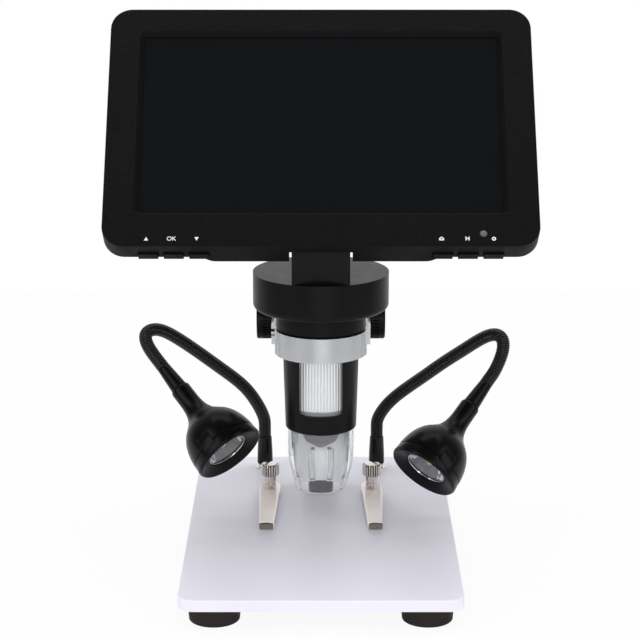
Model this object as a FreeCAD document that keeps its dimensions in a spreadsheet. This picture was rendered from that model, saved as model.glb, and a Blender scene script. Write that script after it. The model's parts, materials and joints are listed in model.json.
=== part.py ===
import FreeCAD, Part
import math
import os
import re

import Sketcher

# A desk microscope with a tilting screen. A heavy metal plate on rubber feet carries a round
# column. A clamp carriage runs up and down the column on a rack, and its ring holds the
# microscope head. The screen tilts on the head, and two gooseneck lamps plug into the plate.
# Millimetres. The origin is on the desk under the middle of the plate, +Z is up, +X is to the
# right of a person who looks at the screen, and that person stands on the -Y side.

# Each size is set here once. The model reads it from the sheet.
SIZES = {
    # base plate and feet
    "plate_width": 120, "plate_length": 190, "plate_thick": 5, "plate_corner": 7,
    "plate_bevel": 0.6, "foot_high": 9, "foot_radius": 11.5, "foot_taper": 0.7,
    "foot_inset_x": 15, "foot_inset_y": 15, "foot_recess": 4.4, "foot_recess_radius": 4.6,
    "foot_screw_radius": 2, "screw_head_radius": 3.8, "screw_head_high": 2.2,
    "screw_bite": 4, "screw_gap": 0.1,
    # column and rack
    "column_radius": 7.75, "column_y": 48, "column_high": 151, "column_bolt_radius": 2.5,
    "column_bolt_length": 21, "bolt_head_radius": 4.5, "bolt_head_high": 3.5,
    "cap_high": 2, "cap_overhang": 0.2, "cap_spigot_radius": 4.5, "cap_spigot_length": 5,
    "tooth_module": 0.8, "pinion_teeth": 14, "rack_addendum": 0.6, "tooth_root": 0.88,
    "pinion_addendum": 0.64, "tooth_backlash": 0.12, "pressure_angle": 20,
    "rack_proud": 0.25, "rack_back": 2.6, "rack_width": 6, "rack_start": 10.5,
    "rack_end_gap": 6, "pinion_width": 5.4,
    # carriage
    "ring_low": 83, "ring_high": 11, "ring_radius": 20.5, "ring_bore": 17.25,
    "head_y": -7.5, "block_half_width": 22.3, "block_front": 5, "block_back": 45,
    "block_bevel": 1.4, "sleeve_radius": 13.5, "sleeve_extra": 9, "running_gap": 0.05,
    "housing_half_width": 9, "housing_front": 26.5, "housing_half_high": 10,
    "shaft_radius": 3, "bush_radius": 4.5, "bush_length": 8, "pinion_room": 0.8,
    "set_screw_radius": 2, "clamp_screw_y": 6,
    # coarse focus knobs
    "knob_radius": 10.5, "knob_thick": 7, "knob_gap": 0.3, "knob_rim": 2.8,
    "knob_rib_depth": 0.55, "knob_ribs": 40, "knob_dish": 1.2, "knob_dish_radius": 7.5,
    # microscope head
    "disc_radius": 30, "disc_high": 16.5, "disc_round": 2.5, "disc_wall": 2,
    "disc_split_y": -12.9, "flange_radius": 20, "flange_high": 9.4, "flange_bevel": 0.8,
    "barrel_top_radius": 16.85, "barrel_low_radius": 15.85, "barrel_length": 34.5,
    "barrel_bore": 14.4, "barrel_round": 1, "shelf_high": 2, "shelf_rise": 5,
    "shelf_bore": 10.8, "window_half_width": 9.35, "window_low_rise": 8.6,
    "board_radius": 22, "board_thick": 1.6, "sensor_half": 6, "sensor_high": 1.5,
    # focus wheel and lens cell
    "wheel_radius": 14.1, "wheel_rib_depth": 0.45, "wheel_ribs": 60, "wheel_wall": 1.5,
    "wheel_rib_high": 25.4, "wheel_high": 28, "wheel_hub_radius": 10, "wheel_hub_high": 12,
    "wheel_web": 3, "cell_radius": 8, "cell_wall": 1.4, "cell_high": 39.8,
    "nose_high": 5.2, "nose_shoulder_high": 3.1, "nose_shoulder_radius": 6.8,
    "nose_tip_radius": 1.9, "nose_drop": 9.5, "nose_bore": 1.1,
    "lens_radius": 4.9, "lens_thick": 2.4, "lens_gap": 0.1,
    # light ring and clear shroud
    "led_board_radius": 12.8, "led_board_bore": 8.8, "led_board_thick": 1.1,
    "led_circle": 10.8, "led_radius": 1.1, "led_high": 1.1, "led_count": 8,
    "shroud_radius": 14.75, "shroud_wall": 1.75, "shroud_foot_radius": 11,
    "shroud_foot_wall": 1.5, "shroud_length": 28.5, "shroud_curve": 16,
    "shroud_spigot_high": 3.7, "shroud_spigot_radius": 14.3, "shroud_spigot_bore": 13,
    "flute_count": 10, "flute_radius": 1.5, "flute_depth": 0.7, "flute_low": 6,
    "flute_high": 17,
    # neck and screen hinge
    "neck_half_width": 12.5, "knuckle_radius": 4.8, "hinge_y": -32.6, "hinge_z": 156.6,
    "neck_undercut": 2.4, "neck_undercut_high": 6.5, "neck_waist": 11, "neck_toe": 8,
    "hinge_pin_radius": 1.5, "hinge_pin_overhang": 6,
    # screen
    "screen_lean": 39.1, "screen_width": 185, "screen_high": 117, "screen_corner": 9.5,
    "bezel_depth": 6.4, "rim_depth": 12, "bulge_depth": 3, "bulge_half_width": 48,
    "bulge_slope": 7, "bulge_high": 104, "case_wall": 1.8, "rear_wall": 1.6,
    "hinge_rise": 12, "hinge_depth": 11.6, "notch_gap": 1, "notch_clear": 0.7,
    "notch_wall": 6, "window_width": 155, "window_high": 87, "window_rise": 16.5,
    "window_bevel": 1.9, "lip_thick": 2.4, "panel_margin": 5, "glass_thick": 1,
    "bezel_round": 1, "case_round": 1.6, "panel_gap": 0.15,
    "key_half_width": 4.2, "key_gap": 0.3, "key_front": 6.9, "key_back": 11,
    "key_proud": 0.8, "key_high": 4.2, "key_tab": 1, "key_tab_high": 0.8,
    "key_edge": 19.5, "key_pitch": 10.75, "key_travel": 0.55, "switch_half": 2,
    "board_margin": 9, "board_low": 5.2, "board_high": 96, "circuit_thick": 1.6,
    "battery_width": 60, "battery_high": 40, "battery_thick": 2.9, "battery_rise": 44,
    "lamp_dot_edge": 24.1, "lamp_dot_rise": 5.9, "lamp_dot_radius": 1.75,
    "lamp_dot_depth": 2, "case_screw_inset": 5.3, "case_screw_radius": 1.2,
    "case_screw_head": 2.2, "case_boss_radius": 3, "vent_count": 7, "vent_pitch": 4,
    "vent_width": 1.6, "vent_length": 34, "vent_rise": 62, "port_rise": 50,
    # specimen clips
    "clip_x": 24.3, "clip_y": 42, "clip_stud_radius": 2, "clip_stud_high": 12,
    "leaf_thick": 0.8, "leaf_half_width": 4.9, "leaf_tip_half_width": 3.1, "leaf_gap": 0.2,
    "leaf_back": 7, "leaf_flat": 4.4, "leaf_step": 1.8, "leaf_rise": 2, "leaf_reach": 53.3,
    "leaf_tip_run": 2.6, "leaf_tip_lift": 3.6, "leaf_tip_arch": 0.7, "leaf_yaw": 0.5,
    "nut_shank_radius": 2.85, "nut_shank_high": 7, "nut_radius": 4.35, "nut_high": 5.6,
    "nut_dome": 1, "nut_ribs": 20, "nut_rib_depth": 0.45, "nut_groove": 0.3,
    "nut_groove_high": 0.4, "nut_gap": 0.2,
    # lamps
    "lamp_x": 27.5, "lamp_y": 78, "socket_radius": 3.3, "socket_flange": 4.2,
    "socket_flange_high": 0.6, "socket_collar_high": 2.4, "socket_drop": 8,
    "plug_radius": 1.75, "plug_length": 6, "plug_low_radius": 3.8, "plug_top_radius": 3.1,
    "plug_high": 14, "plug_grip_high": 5.5, "hose_radius": 3, "hose_root_radius": 2.65,
    "hose_bore": 1.7, "hose_pin_radius": 1.5, "hose_pin_length": 4, "hose_ribs": 110,
    "cuff_length": 12.8, "cuff_radius": 3.85, "bell_neck_radius": 4.65,
    "bell_neck_length": 10, "bell_waist_length": 19, "bell_waist_radius": 8.8,
    "bell_shoulder_length": 32, "bell_radius": 16.2, "bell_seam": 35.9, "bell_length": 40.9,
    "bell_wall": 1.6, "bell_waist_curve": 11, "bell_shoulder_curve": 17,
    "trim_radius": 16.6, "trim_round": 1, "trim_dish": 2.4, "trim_spigot": 2.6,
    "lamp_lens_radius": 10.2, "lamp_lens_thick": 1.2, "lamp_lens_lip": 0.7,
    "reflector_deep": 5.6, "reflector_wall": 0.6, "reflector_throat": 2.6,
    "lamp_board_radius": 9, "lamp_board_thick": 1.5, "lamp_led_half": 1.4, "lamp_led_high": 0.7,
    # wiring under the plate
    "cover_half_width": 32.8, "cover_front": 62, "cover_back": 92, "cover_high": 5.6,
    "cover_wall": 1.4, "inlet_half_width": 4.5, "inlet_length": 10, "inlet_high": 3.8,
    "inlet_bore": 1.2,
}

# Routes of the two goosenecks from the plug to the lamp, as poles of a smooth curve chosen by
# hand, the side on which a hose's seam lies, and the lamps' own places: where the bell's neck
# begins and which way the light points.
LAMPS = {
    "left": {
        "side": "-1",
        "route": [(-29.6, 73.4, 46.2), (-36, 68.8, 58.3), (-47, 62.3, 68.6), (-57.5, 56.6, 78.4),
                  (-67.6, 50.6, 87.6), (-76.6, 44.6, 94.6), (-82.8, 38.6, 93.6), (-80.8, 32.6, 88.8)],
        "seam": (0.6, -0.8, 0),
        "neck": (-64.8, 17, 72.6),
        "aim": (0.59, -0.535, -0.605),
    },
    "right": {
        "side": "1",
        "route": [(32, 75, 48), (41.2, 70, 57), (50.2, 64.8, 65), (58.8, 58.6, 73.6),
                  (67.6, 52.4, 81.2), (74.2, 47.0, 87.6), (80.4, 41.6, 92.4), (84.8, 36.2, 92.4),
                  (85.4, 31.8, 86.6)],
        "seam": (1, 0, 0),
        "neck": (68.9, 17, 64.6),
        "aim": (-0.56, -0.555, -0.615),
    },
}

# Heights and places that several pieces share
PLATE_TOP = "(foot_high + plate_thick)"
RING_LOW = f"({PLATE_TOP} + ring_low)"
RING_TOP = f"({RING_LOW} + ring_high)"
FLANGE_LOW = f"({RING_TOP} + 2 * running_gap)"
DISC_LOW = f"({FLANGE_LOW} + flange_high)"
DISC_TOP = f"({DISC_LOW} + disc_high)"
BARREL_LOW = f"({RING_LOW} - barrel_length)"
COLUMN_TOP = f"({PLATE_TOP} + column_high)"
PITCH_RADIUS = "(tooth_module * pinion_teeth / 2)"
PITCH_LINE_Y = "(column_y - column_radius - rack_proud + rack_addendum)"
SHAFT_Y = f"({PITCH_LINE_Y} - {PITCH_RADIUS})"
SHAFT_Z = f"({RING_LOW} + ring_high / 2)"
RACK_BACK_Y = f"({PITCH_LINE_Y} + tooth_root + rack_back)"
SCREEN_Y = "(hinge_y - hinge_rise * sin(screen_lean) - hinge_depth * cos(screen_lean))"
SCREEN_Z = "(hinge_z - hinge_rise * cos(screen_lean) + hinge_depth * sin(screen_lean))"
CASE_BACK = "(rim_depth + bulge_depth)"
KEY_TOP = "(key_high - key_gap - key_tab_high / 2)"
LAMP_DOT_X = "(screen_width / 2 - lamp_dot_edge)"

doc = FreeCAD.newDocument("digital_microscope")
sheet = doc.addObject("Spreadsheet::Sheet", "Sizes")
for row, (alias, number) in enumerate(SIZES.items(), start=1):
    sheet.set(f"A{row}", alias)
    sheet.set(f"B{row}", str(number))
    sheet.setAlias(f"B{row}", alias)
doc.recompute()

SUBPARTS = []


def linked(text):
    """An expression whose size names point at the sheet."""
    def point(word):
        return "Sizes." + word[0] if word[0] in SIZES else word[0]
    return re.sub(r"[a-z][a-z_]*", point, text)


def number_of(text):
    """The number that an expression gives. An angle in it is in degrees."""
    return float(sheet.evalExpression(linked(text)))


def bind(thing, settings):
    """Tie an object's properties to sizes in the sheet."""
    for name, text in settings.items():
        thing.setExpression(name, linked(text))
    return thing


def move(thing, x="0", y="0", z="0"):
    """Tie an object's place to sizes in the sheet."""
    return bind(thing, {"Placement.Base.x": x, "Placement.Base.y": y, "Placement.Base.z": z})


def on_screen(thing, across="0", rise="0", front="0"):
    """Put an object on the leaning screen: across it, up it from its bottom edge, and out."""
    thing.Placement = FreeCAD.Placement(FreeCAD.Vector(), FreeCAD.Rotation(FreeCAD.Vector(1, 0, 0), 1))
    bind(thing, {"Placement.Rotation.Angle": "(90 - screen_lean) * 1 deg"})
    return move(
        thing, across,
        f"{SCREEN_Y} + ({rise}) * sin(screen_lean) - ({front}) * cos(screen_lean)",
        f"{SCREEN_Z} + ({rise}) * cos(screen_lean) + ({front}) * sin(screen_lean)",
    )


def keep(thing, label):
    """Name a finished sub-part, which is written to a file of the same name."""
    thing.Label = label
    SUBPARTS.append(thing)
    return thing


def block(x_span, y_span, z_span):
    """A box between two planes in each direction."""
    box = doc.addObject("Part::Box", "block")
    (x_low, x_high), (y_low, y_high), (z_low, z_high) = x_span, y_span, z_span
    bind(box, {
        "Length": f"({x_high}) - ({x_low})",
        "Width": f"({y_high}) - ({y_low})",
        "Height": f"({z_high}) - ({z_low})",
    })
    return move(box, x_low, y_low, z_low)


def wide_block(half_width, y_span, z_span):
    """A box that is centred across the object."""
    return block((f"-({half_width})", half_width), y_span, z_span)


def rod(radius, start, end, first="0", second="0", along="z"):
    """A cylinder along an axis, at its place in the two other directions."""
    cylinder = doc.addObject("Part::Cylinder", "rod")
    turns = {"x": ((0, 1, 0), 90), "y": ((1, 0, 0), -90), "z": ((0, 0, 1), 0)}
    axis, angle = turns[along]
    cylinder.Placement = FreeCAD.Placement(FreeCAD.Vector(), FreeCAD.Rotation(FreeCAD.Vector(*axis), angle))
    bind(cylinder, {"Radius": radius, "Height": f"({end}) - ({start})"})
    places = {"x": (start, first, second), "y": (first, start, second), "z": (first, second, start)}
    return move(cylinder, *places[along])


def tube(outer, inner, start, end, first="0", second="0", along="z"):
    """A pipe along an axis."""
    return cut(rod(outer, start, end, first, second, along), [rod(inner, start, end, first, second, along)])


def ball(radius, x, y, z):
    sphere = doc.addObject("Part::Sphere", "ball")
    bind(sphere, {"Radius": radius})
    return move(sphere, x, y, z)


def join(things):
    fused = doc.addObject("Part::MultiFuse", "joined")
    fused.Shapes = things
    return fused


def cut(base, tools):
    result = doc.addObject("Part::Cut", "cut")
    result.Base = base
    result.Tool = tools[0] if len(tools) == 1 else join(tools)
    return result


def common(first, second):
    result = doc.addObject("Part::Common", "common")
    result.Base = first
    result.Tool = second
    return result


def group(things):
    """Separate solids that share one node."""
    compound = doc.addObject("Part::Compound", "group")
    compound.Links = things
    return compound


def draw(body, plane, outlines, circles=(), offset="0"):
    """A sketch of closed outlines. A corner is (across, up), or (across, up, radius) where the
    line that leaves it is an arc: it swells outward on a positive radius, inward on a negative
    one, when the outline runs anticlockwise."""
    drawing = body.newObject("Sketcher::SketchObject", "sketch")
    drawing.AttachmentSupport = [(next(item for item in body.Origin.OriginFeatures if item.Role == plane), "")]
    drawing.MapMode = "FlatFace"
    bind(drawing, {"AttachmentOffset.Base.z": offset})
    for outline in outlines:
        first = drawing.GeometryCount
        corners = [FreeCAD.Vector(number_of(corner[0]), number_of(corner[1])) for corner in outline]
        ends = []
        for index, corner in enumerate(outline):
            here = corners[index]
            there = corners[(index + 1) % len(corners)]
            if len(corner) == 2:
                drawing.addGeometry(Part.LineSegment(here, there), False)
                ends.append((1, 2))
                continue
            radius = number_of(corner[2])
            chord = there - here
            left = FreeCAD.Vector(-chord.y, chord.x).normalize()
            side = 1 if radius > 0 else -1
            rise = math.sqrt(max(radius ** 2 - (chord.Length / 2) ** 2, 0))
            centre = (here + there) / 2 + left * (side * rise)
            middle = centre - left * (side * abs(radius))
            arc = Part.Arc(here, middle, there) if side > 0 else Part.Arc(there, middle, here)
            drawing.addGeometry(arc, False)
            ends.append((1, 2) if side > 0 else (2, 1))
        count = len(outline)
        for index, corner in enumerate(outline):
            edge = first + index
            after = first + (index + 1) % count
            start, end = ends[index]
            next_start = ends[(index + 1) % count][0]
            drawing.addConstraint(Sketcher.Constraint("Coincident", edge, end, after, next_start))
            for kind, text in (("DistanceX", corner[0]), ("DistanceY", corner[1])):
                datum = Sketcher.Constraint(kind, -1, 1, edge, start, number_of(text))
                place = drawing.addConstraint(datum)
                drawing.setExpression(f"Constraints[{place}]", linked(text))
            if len(corner) == 3:
                place = drawing.addConstraint(Sketcher.Constraint("Radius", edge, abs(number_of(corner[2]))))
                drawing.setExpression(f"Constraints[{place}]", linked(f"abs({corner[2]})"))
    for across, up, radius in circles:
        centre = FreeCAD.Vector(number_of(across), number_of(up))
        edge = drawing.addGeometry(Part.Circle(centre, FreeCAD.Vector(0, 0, 1), number_of(radius)), False)
        for kind, text in (("DistanceX", across), ("DistanceY", up)):
            place = drawing.addConstraint(Sketcher.Constraint(kind, -1, 1, edge, 3, number_of(text)))
            drawing.setExpression(f"Constraints[{place}]", linked(text))
        place = drawing.addConstraint(Sketcher.Constraint("Radius", edge, number_of(radius)))
        drawing.setExpression(f"Constraints[{place}]", linked(radius))
    return drawing


def new_body(name):
    return doc.addObject("PartDesign::Body", name)


def pad(body, drawing, length, both_ways=False):
    feature = body.newObject("PartDesign::Pad", "pad")
    feature.Profile = drawing
    feature.Midplane = both_ways
    bind(feature, {"Length": length})
    return feature


def pocket(body, drawing, depth, upward=False):
    """Cut a sketch into the body, and make sure that it removes material."""
    doc.recompute()
    before = body.Shape.Volume
    feature = body.newObject("PartDesign::Pocket", "pocket")
    feature.Profile = drawing
    feature.Reversed = upward
    bind(feature, {"Length": depth})
    doc.recompute()
    if body.Shape.Volume > before - 0.01:
        raise RuntimeError(f"a pocket in {body.Name} cuts nothing")
    return feature


def dress(body, kind, radius, chosen):
    """Round or bevel the edges that a test picks."""
    doc.recompute()
    base = body.Tip
    names = [f"Edge{index}" for index, edge in enumerate(base.Shape.Edges, start=1) if chosen(edge)]
    feature = body.newObject(f"PartDesign::{kind}", kind.lower())
    feature.Base = (base, names)
    bind(feature, {"Radius" if kind == "Fillet" else "Size": radius})
    return feature


def spun(name, outline):
    """A body of revolution about its own upright axis."""
    body = new_body(name)
    drawing = draw(body, "XZ_Plane", [outline])
    spin = body.newObject("PartDesign::Revolution", "turn")
    spin.Profile = drawing
    spin.ReferenceAxis = (drawing, ["V_Axis"])
    spin.Angle = 360
    return body


def turned(name, outline, x="0", y="0", z="0"):
    """A body of revolution at its place."""
    return move(spun(name, outline), x, y, z)


def slab(name, plane, outline, thick, both_ways=False, offset="0"):
    """A body padded from one outline."""
    body = new_body(name)
    pad(body, draw(body, plane, [outline], offset=offset), thick, both_ways)
    return body


def rounded(low_x, high_x, low_y, high_y, radius):
    """A rectangle with round corners, anticlockwise."""
    radius = f"({radius})"
    return [
        (f"{low_x} + {radius}", low_y), (f"{high_x} - {radius}", low_y, radius),
        (high_x, f"{low_y} + {radius}"), (high_x, f"{high_y} - {radius}", radius),
        (f"{high_x} - {radius}", high_y), (f"{low_x} + {radius}", high_y, radius),
        (low_x, f"{high_y} - {radius}"), (low_x, f"{low_y} + {radius}", radius),
    ]


def is_level(edge, height):
    box = edge.BoundBox
    return abs(box.ZMin - height) < 0.01 and abs(box.ZMax - height) < 0.01


def formed(name, shape):
    """A piece whose surface comes from a formula."""
    thing = doc.addObject("Part::Feature", name)
    thing.Shape = shape
    return thing


def extruded(points, vector):
    """A prism on a closed run of points."""
    wire = Part.makePolygon([FreeCAD.Vector(*point) for point in points + points[:1]])
    return Part.Face(wire).extrude(FreeCAD.Vector(*vector))


def serrated(radius, depth, count, thick):
    """A disc with fine ribs round its edge, standing on its own XY plane."""
    points = []
    for index in range(count):
        for share, reach in ((-0.32, radius - depth), (-0.14, radius), (0.14, radius), (0.32, radius - depth)):
            angle = 2 * math.pi * (index + share) / count
            points.append((reach * math.cos(angle), reach * math.sin(angle), 0))
    return extruded(points, (0, 0, thick))


# base plate, feet and what is screwed to the plate
def build_base_plate():
    body = new_body("base_plate")
    half_width = "plate_width / 2"
    half_length = "plate_length / 2"
    outline = rounded(f"-{half_width}", half_width, f"-{half_length}", half_length, "plate_corner")
    pad(body, draw(body, "XY_Plane", [outline], offset="foot_high"), "plate_thick")
    top = number_of(PLATE_TOP)
    dress(body, "Fillet", "plate_bevel", lambda edge: is_level(edge, top))
    holes = [("0", "column_y", "column_bolt_radius + screw_gap")]
    pilots = []
    for side in ("-1", "1"):
        holes.append((f"{side} * clip_x", "clip_y", "clip_stud_radius"))
        holes.append((f"{side} * lamp_x", "lamp_y", "socket_radius"))
        for end in ("-1", "1"):
            pilots.append((*foot_place(side, end), "foot_screw_radius"))
    pocket(body, draw(body, "XY_Plane", [], holes, offset=PLATE_TOP), "plate_thick")
    pocket(body, draw(body, "XY_Plane", [], pilots, offset="foot_high"), "screw_bite", upward=True)
    return keep(body, "base_plate")


def foot_place(side, end):
    return f"{side} * (plate_width / 2 - foot_inset_x)", f"{end} * (plate_length / 2 - foot_inset_y)"


def build_feet():
    feet = []
    screws = []
    low_round = "foot_taper"
    for side in ("-1", "1"):
        for end in ("-1", "1"):
            x, y = foot_place(side, end)
            foot = [
                ("foot_recess_radius", "0"), (f"foot_radius - foot_taper - {low_round}", "0", low_round),
                ("foot_radius - foot_taper", low_round), ("foot_radius", "foot_high"),
                ("foot_screw_radius + screw_gap", "foot_high"),
                ("foot_screw_radius + screw_gap", "foot_recess"), ("foot_recess_radius", "foot_recess"),
            ]
            feet.append(turned("foot", foot, x, y))
            head = rod("screw_head_radius", "foot_recess - screw_head_high", "foot_recess", x, y)
            shank = rod("foot_screw_radius", "foot_recess", "foot_high + screw_bite", x, y)
            screws.append(join([head, shank]))
    keep(group(feet), "rubber_feet")
    head = rod("bolt_head_radius", "foot_high - bolt_head_high", "foot_high", "0", "column_y")
    shank = rod("column_bolt_radius", "foot_high", "foot_high + column_bolt_length", "0", "column_y")
    screws.append(join([head, shank]))
    keep(group(screws), "base_screws")


def build_column():
    bar = rod("column_radius", PLATE_TOP, COLUMN_TOP, "0", "column_y")
    slot_low = f"{PLATE_TOP} + rack_start"
    slot = wide_block("rack_width / 2", ("column_y - 2 * column_radius", RACK_BACK_Y), (slot_low, COLUMN_TOP))
    bolt_hole = rod("column_bolt_radius", PLATE_TOP, "foot_high + column_bolt_length", "0", "column_y")
    cap_hole = rod("cap_spigot_radius", f"{COLUMN_TOP} - cap_spigot_length", COLUMN_TOP, "0", "column_y")
    keep(cut(bar, [slot, bolt_hole, cap_hole]), "column")
    spigot_gap = f"(rack_back + column_y - {RACK_BACK_Y})"
    cap = [
        ("0", "-cap_spigot_length"), ("cap_spigot_radius", "-cap_spigot_length"),
        ("cap_spigot_radius", "0"), ("column_radius + cap_overhang", "0"),
        ("column_radius + cap_overhang", "cap_high / 2", "cap_high / 2 + cap_overhang"),
        ("column_radius - cap_high / 2", "cap_high"), ("0", "cap_high"),
    ]
    whole = turned("cap", cap, "0", "column_y", COLUMN_TOP)
    flat = wide_block("rack_width / 2", (f"{RACK_BACK_Y} - {spigot_gap}", RACK_BACK_Y),
                      (f"{COLUMN_TOP} - 2 * cap_spigot_length", COLUMN_TOP))
    keep(cut(whole, [flat]), "column_cap")


def build_rack():
    """Straight teeth up the column's front, with a gap between teeth level with the pinion."""
    module = number_of("tooth_module")
    pitch = math.pi * module
    slope = math.tan(math.radians(number_of("pressure_angle")))
    line = number_of(PITCH_LINE_Y)
    root = line + number_of("tooth_root")
    tip = line - number_of("rack_addendum")
    half = pitch / 4 - number_of("tooth_backlash") / 2
    low = number_of(f"{PLATE_TOP} + rack_start")
    high = number_of(f"{COLUMN_TOP} - rack_end_gap")
    middle = number_of(SHAFT_Z) + pitch / 2
    half_width = number_of("rack_width / 2")
    points = [(-half_width, number_of(RACK_BACK_Y), high), (-half_width, number_of(RACK_BACK_Y), low),
              (-half_width, root, low)]
    first = math.ceil((low + pitch / 2 - middle) / pitch)
    last = math.floor((high - pitch / 2 - middle) / pitch)
    for index in range(first, last + 1):
        centre = middle + index * pitch
        at_root = half + (root - line) * slope
        at_tip = half - (line - tip) * slope
        points += [(-half_width, root, centre - at_root), (-half_width, tip, centre - at_tip),
                   (-half_width, tip, centre + at_tip), (-half_width, root, centre + at_root)]
    points.append((-half_width, root, high))
    keep(formed("rack", extruded(points, (2 * half_width, 0, 0))), "rack")


def build_wiring_cover():
    low = "foot_high - cover_high"
    shell = wide_block("cover_half_width", ("cover_front", "cover_back"), (low, "foot_high"))
    room = wide_block("cover_half_width - cover_wall", ("cover_front + cover_wall", "cover_back - cover_wall"),
                      (f"{low} + cover_wall", "foot_high"))
    mouth = wide_block("inlet_half_width", ("cover_back - 2 * cover_wall", "cover_back"),
                       ("foot_high - inlet_high", "foot_high"))
    keep(cut(shell, [room, mouth]), "wiring_cover")
    inlet = wide_block("inlet_half_width", ("cover_back - inlet_length", "cover_back"),
                       ("foot_high - inlet_high", "foot_high"))
    bore = rod("inlet_bore", "cover_back - inlet_length + cover_wall", "cover_back", "0",
               "foot_high - inlet_high / 2", along="y")
    keep(cut(inlet, [bore]), "power_inlet")


def build_lamp_sockets():
    sockets = []
    for side in ("-1", "1"):
        x = f"{side} * lamp_x"
        flange = rod("socket_flange", PLATE_TOP, f"{PLATE_TOP} + socket_flange_high", x, "lamp_y")
        collar = rod("socket_radius", f"{PLATE_TOP} - socket_drop", f"{PLATE_TOP} + socket_collar_high", x, "lamp_y")
        bore = rod("plug_radius + running_gap", f"{PLATE_TOP} - socket_drop + running_gap * 20",
                   f"{PLATE_TOP} + socket_collar_high", x, "lamp_y")
        sockets.append(cut(join([flange, collar]), [bore]))
    keep(group(sockets), "lamp_sockets")


# carriage on the column, with its rack drive
def build_carriage():
    ring = rod("ring_radius", RING_LOW, RING_TOP, "0", "head_y")
    outline = [
        ("-block_half_width", RING_LOW), ("block_half_width", RING_LOW),
        ("block_half_width", f"{RING_TOP} - block_bevel"), ("block_half_width - block_bevel", RING_TOP),
        ("block_bevel - block_half_width", RING_TOP), ("-block_half_width", f"{RING_TOP} - block_bevel"),
    ]
    arm = slab("arm", "XZ_Plane", outline, "block_back - block_front", offset="-block_back")
    sleeve_low = f"({RING_LOW} - sleeve_extra)"
    sleeve_top = f"({RING_TOP} + sleeve_extra)"
    sleeve = rod("sleeve_radius", sleeve_low, sleeve_top, "0", "column_y")
    housing = wide_block("housing_half_width", ("housing_front", "column_y"),
                         (f"{SHAFT_Z} - housing_half_high", f"{SHAFT_Z} + housing_half_high"))
    ring_hole = rod("ring_bore", RING_LOW, RING_TOP, "0", "head_y")
    column_hole = rod("column_radius + running_gap", sleeve_low, sleeve_top, "0", "column_y")
    rack_slot = wide_block("rack_width / 2 + running_gap", (f"{PITCH_LINE_Y} - rack_addendum - 4 * running_gap", "column_y"),
                           (sleeve_low, sleeve_top))
    room_half = "(pinion_width / 2 + running_gap * 6)"
    pinion_hole = rod(f"{PITCH_RADIUS} + pinion_addendum + pinion_room", f"-{room_half}", room_half,
                      SHAFT_Y, SHAFT_Z, along="x")
    shaft_hole = rod("shaft_radius + 4 * running_gap", "-block_half_width", "block_half_width",
                     SHAFT_Y, SHAFT_Z, along="x")
    bush_seats = [
        rod("bush_radius", f"{side} * (block_half_width - bush_length / 2) - bush_length / 2",
            f"{side} * (block_half_width - bush_length / 2) + bush_length / 2", SHAFT_Y, SHAFT_Z, along="x")
        for side in ("-1", "1")
    ]
    drag_hole = rod("set_screw_radius", "column_y", "column_y + sleeve_radius", "0", SHAFT_Z, along="y")
    clamp_hole = rod("set_screw_radius", "-block_half_width", "0", "clamp_screw_y", SHAFT_Z, along="x")
    cuts = [ring_hole, column_hole, rack_slot, pinion_hole, shaft_hole, drag_hole, clamp_hole]
    keep(cut(join([ring, arm, sleeve, housing]), cuts + bush_seats), "carriage")

    bushes = [
        tube("bush_radius", "shaft_radius + running_gap",
             f"{side} * (block_half_width - bush_length / 2) - bush_length / 2",
             f"{side} * (block_half_width - bush_length / 2) + bush_length / 2", SHAFT_Y, SHAFT_Z, along="x")
        for side in ("-1", "1")
    ]
    keep(group(bushes), "shaft_bushes")

    drag = rod("set_screw_radius", "column_y + column_radius + 2 * running_gap", "column_y + sleeve_radius",
               "0", SHAFT_Z, along="y")
    ring_wall = "sqrt(ring_bore * ring_bore - (clamp_screw_y - head_y) * (clamp_screw_y - head_y))"
    reach = f"({ring_wall} + set_screw_radius)"
    clamp = rod("set_screw_radius", "-block_half_width", f"-{reach}", "clamp_screw_y", SHAFT_Z, along="x")
    keep(group([drag, clamp]), "carriage_screws")


def involute(angle):
    return math.tan(angle) - angle


def build_pinion_shaft():
    """Involute teeth, one of them pointing straight at the rack."""
    teeth = int(number_of("pinion_teeth"))
    pitch_radius = number_of(PITCH_RADIUS)
    pressure = math.radians(number_of("pressure_angle"))
    base_radius = pitch_radius * math.cos(pressure)
    tip_radius = pitch_radius + number_of("pinion_addendum")
    root_radius = pitch_radius - number_of("tooth_root")
    half_tooth = math.pi / (2 * teeth) - number_of("tooth_backlash") / (2 * pitch_radius)
    steps = 5
    flank = [(root_radius, half_tooth + involute(pressure))]
    for step in range(steps + 1):
        reach = base_radius + (tip_radius - base_radius) * step / steps
        flank.append((reach, half_tooth + involute(pressure) - involute(math.acos(base_radius / reach))))
    start = -number_of("pinion_width / 2")
    shaft_y = number_of(SHAFT_Y)
    shaft_z = number_of(SHAFT_Z)
    points = []
    for tooth in range(teeth):
        centre = 2 * math.pi * tooth / teeth
        sides = [(reach, centre - angle) for reach, angle in flank]
        sides += [(reach, centre + angle) for reach, angle in reversed(flank)]
        points += [(start, shaft_y + reach * math.cos(angle), shaft_z + reach * math.sin(angle))
                   for reach, angle in sides]
    gear = extruded(points, (-2 * start, 0, 0))
    half_length = number_of("block_half_width + knob_gap + knob_thick - knob_dish")
    shaft = Part.makeCylinder(number_of("shaft_radius"), 2 * half_length,
                              FreeCAD.Vector(-half_length, shaft_y, shaft_z), FreeCAD.Vector(1, 0, 0))
    keep(formed("pinion_shaft", gear.fuse(shaft).removeSplitter()), "pinion_shaft")


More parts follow.
